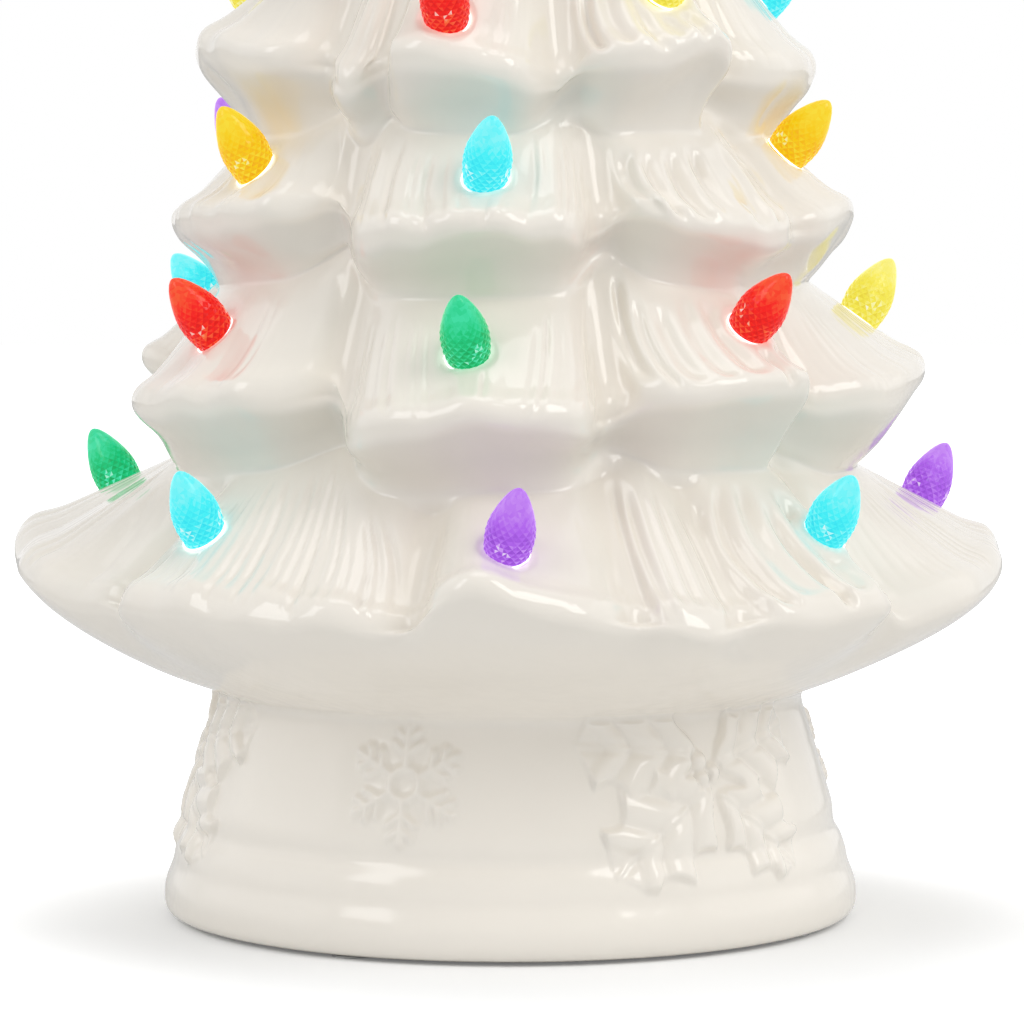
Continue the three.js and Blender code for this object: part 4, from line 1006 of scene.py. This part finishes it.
def lamp_material(colour):
    dark, usual, bright = LAMP_COLOURS[colour]
    material, tree = new_material("lamp_" + colour, [LAMP_BASE * value for value in usual], 0.16)
    cells = add_node(tree, "TexVoronoi", {"Vector": own_place(tree), "Scale": 900})
    split = add_node(tree, "SeparateColor", {"Color": cells.outputs["Color"]})
    flecks = mapped(tree, split.outputs["Red"], (0, 1), (-0.07, 0.07))
    total = add_node(tree, "Math", {0: attribute(tree, "spark"), 1: flecks}, operation="ADD")
    lit = ramp(tree, total.outputs["Value"], [
        (0.0, dark),
        (0.45, usual),
        (0.85, bright),
        (1.0, tuple(0.25 * value + 0.75 for value in bright)),
    ])
    shade(tree, {"Emission Color": lit, "Emission Strength": LAMP_GLOW, "Specular IOR Level": 0.25})
    grain(tree, 900, 2, 0.2, 0.0001)
    return material


# painted light: a thin ring that glows white at the foot of each lamp, standing for the lamp's light showing
# round its seat
def seat_material():
    material, tree = new_material("seat_glow", (0.95, 0.97, 0.98), 0.3)
    lit = ramp(tree, noise(tree, 400, 1), [(0.3, (0.92, 0.97, 1.0)), (0.7, (1.0, 1.0, 1.0))])
    shade(tree, {"Emission Color": lit, "Emission Strength": 0.9})
    return material


def lamp_radius(level):
    return float(np.interp(level, *zip(*LAMP_PROFILE)))


def lamp_mesh(name, seed):
    """One lamp along Z: a smooth peg and foot, a head cut into small diamonds, and a smooth tip."""
    rng = np.random.default_rng(seed)
    bm = bmesh.new()
    spark = bm.faces.layers.float.new("spark_face")
    count = FACETS_AROUND * 2
    lattice = []
    levels = np.arange(-LAMP_SINK + 0.6, FACET_TOP, FACET_ROW)
    for row, level in enumerate(levels):
        radius = lamp_radius(level)
        ring = {}
        for column in range(row % 2, count, 2):
            turn = 2 * math.pi * column / count
            ring[column] = bm.verts.new((radius * math.cos(turn), radius * math.sin(turn), level))
        lattice.append(ring)
    for row in range(len(levels) - 2):
        for column in lattice[row]:
            right = lattice[row + 1][(column + 1) % count]
            left = lattice[row + 1][(column - 1) % count]
            face = bm.faces.new((lattice[row][column], right, lattice[row + 2][column], left))
            face[spark] = 0.0
    for row, low_side in ((0, True), (len(levels) - 1, False)):
        near = lattice[1] if low_side else lattice[-2]
        for column in lattice[row]:
            following = lattice[row][(column + 2) % count]
            tip = near[(column + 1) % count]
            corners = (lattice[row][column], following, tip)
            bm.faces.new(corners if low_side else corners[::-1])
    facets = [face for face in bm.faces if len(face.verts) == 4]
    for face in facets:
        middle = face.calc_center_median()
        rise = FACET_RISE * smooth(middle.z, FACET_TOP, FACET_TOP * 0.4)
        centre = bm.verts.new(middle + Vector((middle.x, middle.y, 0)).normalized() * rise)
        corners = list(face.verts)
        turn = math.degrees(math.atan2(middle.y, middle.x))
        aside = abs((turn * PETALS / 360 + 0.5) % 1 - 0.5) * 360 / PETALS
        flower = math.exp(-(((middle.z - PETAL_LEVEL) / PETAL_HEIGHT) ** 2) - (aside / PETAL_WIDTH) ** 2)
        clear = smooth(middle.z, FACET_TOP, FACET_TOP * 0.25)
        whole = rng.uniform(-FACET_SPREAD, FACET_SPREAD)
        for index in range(4):
            piece = bm.faces.new((corners[index], corners[(index + 1) % 4], centre))
            side = 1 if piece.calc_center_median().z < middle.z else -1
            own = rng.uniform(-PIECE_SPREAD, PIECE_SPREAD)
            level = FACET_SPARK + clear * (whole + HALF_SPREAD * side + own)
            level += (CAP_SPARK - level) * smooth(middle.z, FACET_TOP * 0.5, FACET_TOP)
            if rng.random() < flower * PETAL_SHARE:
                level = rng.uniform(*PETAL_SPARKS)
            piece[spark] = level
        bm.faces.remove(face)
    cap_and_peg(bm, lattice, levels, count)
    bm.normal_update()
    bmesh.ops.recalc_face_normals(bm, faces=bm.faces)
    for face in bm.faces:
        if face[spark] == 0:
            face[spark] = CAP_SPARK if face.calc_center_median().z > FACET_TOP / 2 else PEG_SPARK
    sparks = [face[spark] for face in bm.faces]
    for face in bm.faces:
        face.smooth = face.calc_center_median().z > levels[-1] - 0.2
    mesh = finished_mesh(bm, name)
    mesh.transform(Matrix.Scale(MM, 4))
    mesh.attributes.new("spark", "FLOAT", "FACE").data.foreach_set("value", np.array(sparks, np.float32))
    mesh.attributes.remove(mesh.attributes["spark_face"])
    return mesh


def cap_and_peg(bm, lattice, levels, count):
    """Closes a lamp's lattice with a smooth tip above and a foot and peg below."""
    top = [lattice[-1][column] for column in sorted(lattice[-1])]
    rings = [top]
    start = levels[-1]
    for share in (0.2, 0.38, 0.54, 0.68, 0.80, 0.89, 0.95, 0.985):
        level = start + (LAMP_LENGTH - start) * share
        rings.append(ring_like(bm, top, lamp_radius(level), level))
    skin_all(bm, rings)
    tip = bm.verts.new((0, 0, LAMP_LENGTH))
    for index, corner in enumerate(rings[-1]):
        bm.faces.new((corner, rings[-1][(index + 1) % len(rings[-1])], tip))
    bottom = [lattice[0][column] for column in sorted(lattice[0])]
    rings = [bottom]
    for radius, level in [
        (LAMP_BASE_RADIUS - 0.2, -LAMP_SINK),
        (LAMP_PEG_RADIUS + 0.3, -LAMP_SINK),
        (LAMP_PEG_RADIUS, -LAMP_SINK - 0.3),
        (LAMP_PEG_RADIUS, -LAMP_SINK - LAMP_PEG_LENGTH + 0.5),
        (LAMP_PEG_RADIUS - 0.5, -LAMP_SINK - LAMP_PEG_LENGTH),
    ]:
        rings.append(ring_like(bm, bottom, radius, level))
    for low, high in zip(rings, rings[1:]):
        skin(bm, high, low)
    bm.faces.new(rings[-1][::-1])


def ring_like(bm, ring, radius, level):
    made = []
    for corner in ring:
        flat = Vector((corner.co.x, corner.co.y, 0)).normalized() * radius
        made.append(bm.verts.new((flat.x, flat.y, level)))
    return made


def skin(bm, low, high):
    for index in range(len(low)):
        after = (index + 1) % len(low)
        bm.faces.new((low[index], low[after], high[after], high[index]))


def skin_all(bm, rings):
    for low, high in zip(rings, rings[1:]):
        skin(bm, low, high)


def ring_mesh(name, radius, thickness, around=48, section=10):
    """A thin round ring in the XY plane."""
    bm = bmesh.new()
    rings = []
    for index in range(around):
        turn = 2 * math.pi * index / around
        out = Vector((math.cos(turn), math.sin(turn), 0))
        ring = []
        for corner in range(section):
            swing = 2 * math.pi * corner / section
            place = out * (radius + thickness * math.cos(swing)) + Vector((0, 0, thickness * math.sin(swing)))
            ring.append(bm.verts.new(place * MM))
        rings.append(ring)
    for index in range(around):
        skin(bm, rings[(index + 1) % around], rings[index])
    bmesh.ops.recalc_face_normals(bm, faces=bm.faces)
    for face in bm.faces:
        face.smooth = True
    return finished_mesh(bm, name)


def add_lamps():
    meshes = {}
    seat_ring = ring_mesh("lamp_seat", SEAT_RING_RADIUS, SEAT_RING_THICKNESS)
    seat_ring.materials.append(seat_material())
    for colour in LAMP_COLOURS:
        meshes[colour] = lamp_mesh("lamp_" + colour, SEED + len(meshes))
        meshes[colour].materials.append(lamp_material(colour))
    for tier, lamp, node in lamp_names():
        place, axis = seat(tier, lamp)
        matrix = Matrix.Translation(place * MM) @ axis.to_track_quat("Z", "Y").to_matrix().to_4x4()
        # no two lamps show the same side of their mesh
        matrix = matrix @ Matrix.Rotation(math.radians(lamp[0] * 7), 4, "Z")
        head = added("faceted_" + node, meshes[lamp[4]])
        head.matrix_world = matrix
        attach(head, "tree")
        ring = added("seat_" + node, seat_ring)
        level = slope_normal(tier, lamp)
        low = Matrix.Translation((place + level * 0.1) * MM)
        ring.matrix_world = low @ level.to_track_quat("Z", "Y").to_matrix().to_4x4()
        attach(ring, "tree")
        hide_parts(node)


def plain_materials():
    """Materials of the CAD nodes that keep their own shapes, by name."""
    made = {}
    for name, (colour, roughness, texture) in PLAIN_FINISHES.items():
        made[name], tree = new_material(name, colour, roughness)
        grain(tree, *texture)
    shade(made["clear_silicone"].node_tree, {"Transmission Weight": 0.2})
    shade(made["nickel"].node_tree, {"Metallic": 1.0})
    made["green_board"], tree = new_material("green_board", (0.02, 0.16, 0.06), 0.35)
    shade(tree, {"Base Color": ramp(tree, noise(tree, 260, 4), [
        (0.42, (0.015, 0.13, 0.05)), (0.5, (0.03, 0.22, 0.09)), (0.58, (0.015, 0.13, 0.05)),
    ])})
    made["lit_strip"], tree = new_material("lit_strip", (0.9, 0.88, 0.8), 0.4)
    lit = ramp(tree, noise(tree, 150, 1), [(0.3, (0.95, 0.93, 0.85)), (0.7, (1.0, 0.97, 0.88))])
    shade(tree, {"Emission Color": lit, "Emission Strength": 0.8})
    made["cell_jacket"] = cell_material()
    return made


def cell_material():
    """A plain jacket with a bare nickel end on each side, told apart by the place along the cell."""
    nickel, green, copper = (0.62, 0.60, 0.56), (0.04, 0.24, 0.09), (0.65, 0.42, 0.10)
    material, tree = new_material("cell_jacket", green, 0.3)
    along_cell = add_node(tree, "SeparateXYZ", {"Vector": add_node(tree, "TexCoord").outputs["Generated"]})
    shade(tree, {"Base Color": ramp(tree, along_cell.outputs["Y"], [
        (0.0, nickel), (0.035, nickel), (0.04, green), (0.78, green), (0.79, copper), (0.955, copper),
        (0.96, nickel),
    ])})
    grain(tree, 500, 2, 0.15, 0.00005)
    return material


def dress_cad_nodes():
    materials = plain_materials()
    for name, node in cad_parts.items():
        for start, finish in NODE_FINISHES.items():
            if name.startswith(start):
                for slot in node.material_slots:
                    slot.material = materials[finish]
        if name in SOFT_EDGED:
            bevel = node.modifiers.new("soft_edges", "BEVEL")
            bevel.width = 0.25 * MM
            bevel.segments = 2
            bevel.limit_method = "ANGLE"
            bevel.harden_normals = False


def add_star():
    """A five-pointed star of clear amber plastic, each face cut into small facets."""
    crown = TIERS[-1]["root_height"]
    centre = Vector((0, 0, crown + STAR_COLLAR_HEIGHT + STAR_RADIUS * math.cos(math.pi / 5) - STAR_SINK))
    bm = bmesh.new()
    outline = []
    for index in range(10):
        radius = STAR_FACE_RADIUS * (STAR_WAIST if index % 2 else 1)
        turn = index * math.pi / 5
        outline.append(centre + Vector((radius * math.sin(turn), 0, radius * math.cos(turn))))
    rims = []
    for side in (-1, 1):
        rim = [bm.verts.new(point + Vector((0, side * STAR_EDGE, 0))) for point in outline]
        peak = bm.verts.new(centre + Vector((0, side * STAR_PEAK, 0)))
        for index in range(10):
            bm.faces.new((rim[index], rim[(index + 1) % 10], peak))
        rims.append(rim)
    skin(bm, *rims)
    long_edges = [edge for edge in bm.edges if edge.calc_length() > 4]
    bmesh.ops.subdivide_edges(bm, edges=long_edges, cuts=5, use_grid_fill=True)
    bmesh.ops.recalc_face_normals(bm, faces=bm.faces)
    rng = np.random.default_rng(SEED)
    for vert in bm.verts:
        if abs((vert.co - centre).y) > 0.8:
            vert.co.y += math.copysign(rng.uniform(0, 0.42), vert.co.y)
    add_turned(bm, [(radius, crown + level) for radius, level in STAR_COLLAR], 24)
    for face in bm.faces:
        face.smooth = False
    mesh = finished_mesh(bm, "lit_star")
    mesh.transform(Matrix.Scale(MM, 4))
    star = added("lit_star", mesh)
    mesh.materials.append(star_material(centre.z * MM))
    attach(star, "star")
    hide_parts("star_topper")


def add_turned(bm, outline, sides):
    rings = []
    for radius, level in outline:
        ring = []
        for index in range(sides):
            turn = 2 * math.pi * index / sides
            ring.append(bm.verts.new((radius * math.cos(turn), radius * math.sin(turn), level)))
        rings.append(ring)
    skin_all(bm, rings)
    bm.faces.new(rings[0][::-1])
    bm.faces.new(rings[-1])


def distance_from(tree, point):
    """How far the surface lies from a point of the scene."""
    away = add_node(tree, "VectorMath", {0: own_place(tree), 1: point}, operation="SUBTRACT")
    return add_node(tree, "VectorMath", {0: away.outputs["Vector"]}, operation="LENGTH").outputs["Value"]


def star_material(centre_height):
    material, tree = new_material("star_clear", (0.75, 0.52, 0.10), 0.14)
    spread = mapped(tree, distance_from(tree, (0, 0, centre_height)), (0, STAR_RADIUS * MM), (0, 1))
    lit = ramp(tree, spread, [(0.0, (1.0, 0.93, 0.55)), (0.35, (1.0, 0.78, 0.20)), (1.0, (0.90, 0.50, 0.06))])
    shade(tree, {"Emission Color": lit, "Emission Strength": 0.6, "Coat Weight": 0.5})
    grain(tree, 900, 2, 0.2, 0.0001)
    return material


def aim(thing, target):
    direction = Vector(target) - thing.location
    thing.rotation_euler = direction.to_track_quat("-Z", "Y").to_euler()


def add_softbox(name, place, target, size, energy, colour):
    light = bpy.data.lights.new(name, "AREA")
    light.shape = "RECTANGLE"
    light.size, light.size_y = size
    light.energy = energy
    light.color = colour
    thing = added(name, light)
    thing.location = place
    aim(thing, target)


def studio():
    world = bpy.data.worlds.new("studio")
    bpy.context.scene.world = world
    world.use_nodes = True
    tree = world.node_tree
    path = add_node(tree, "LightPath").outputs
    total = path["Is Camera Ray"]
    for ray in ("Is Glossy Ray", "Is Transmission Ray"):
        total = add_node(tree, "Math", {0: total, 1: path[ray]}, operation="MAXIMUM").outputs["Value"]
    strength = mapped(tree, total, (0, 1), (WORLD_LIGHT, 1.0))
    fill(tree, tree.nodes["Background"], {"Strength": strength, "Color": (1, 1, 1, 1)})
    for name, softbox in SOFTBOXES.items():
        add_softbox(name, *softbox)
    add_floor()


def add_floor():
    """A white floor that keeps the shadow near the tree and is plain white further out."""
    bm = bmesh.new()
    bmesh.ops.create_grid(bm, x_segments=1, y_segments=1, size=3.0)
    floor = added("floor", finished_mesh(bm, "floor"))
    material, tree = new_material("floor", (0.885, 0.895, 0.905), 0.9)
    away = distance_from(tree, FLOOR_MIDDLE)
    spread = mapped(tree, away, FLOOR_FADE, (FLOOR_LIFT, 1.0), interpolation_type="SMOOTHSTEP")
    seen = add_node(tree, "LightPath").outputs["Is Camera Ray"]
    lift = add_node(tree, "Math", {0: spread, 1: seen}, operation="MULTIPLY").outputs["Value"]
    shade(tree, {"Specular IOR Level": 0.0, "Emission Color": (1, 1, 1, 1), "Emission Strength": lift})
    floor.data.materials.append(material)


def camera():
    data = bpy.data.cameras.new("camera")
    data.lens = CAMERA_LENS
    data.sensor_width = 36
    data.clip_start = 0.01
    thing = added("camera", data)
    thing.location = CAMERA_PLACE
    aim(thing, CAMERA_AIM)
    bpy.context.scene.camera = thing


camera()
studio()
place_tiers()
glazed = casting()
glazed.data.materials.append(glaze_material())
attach(glazed, "tree")
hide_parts("ceramic_casting")
add_lamps()
add_star()
dress_cad_nodes()
bpy.context.scene.view_settings.view_transform = "Standard"
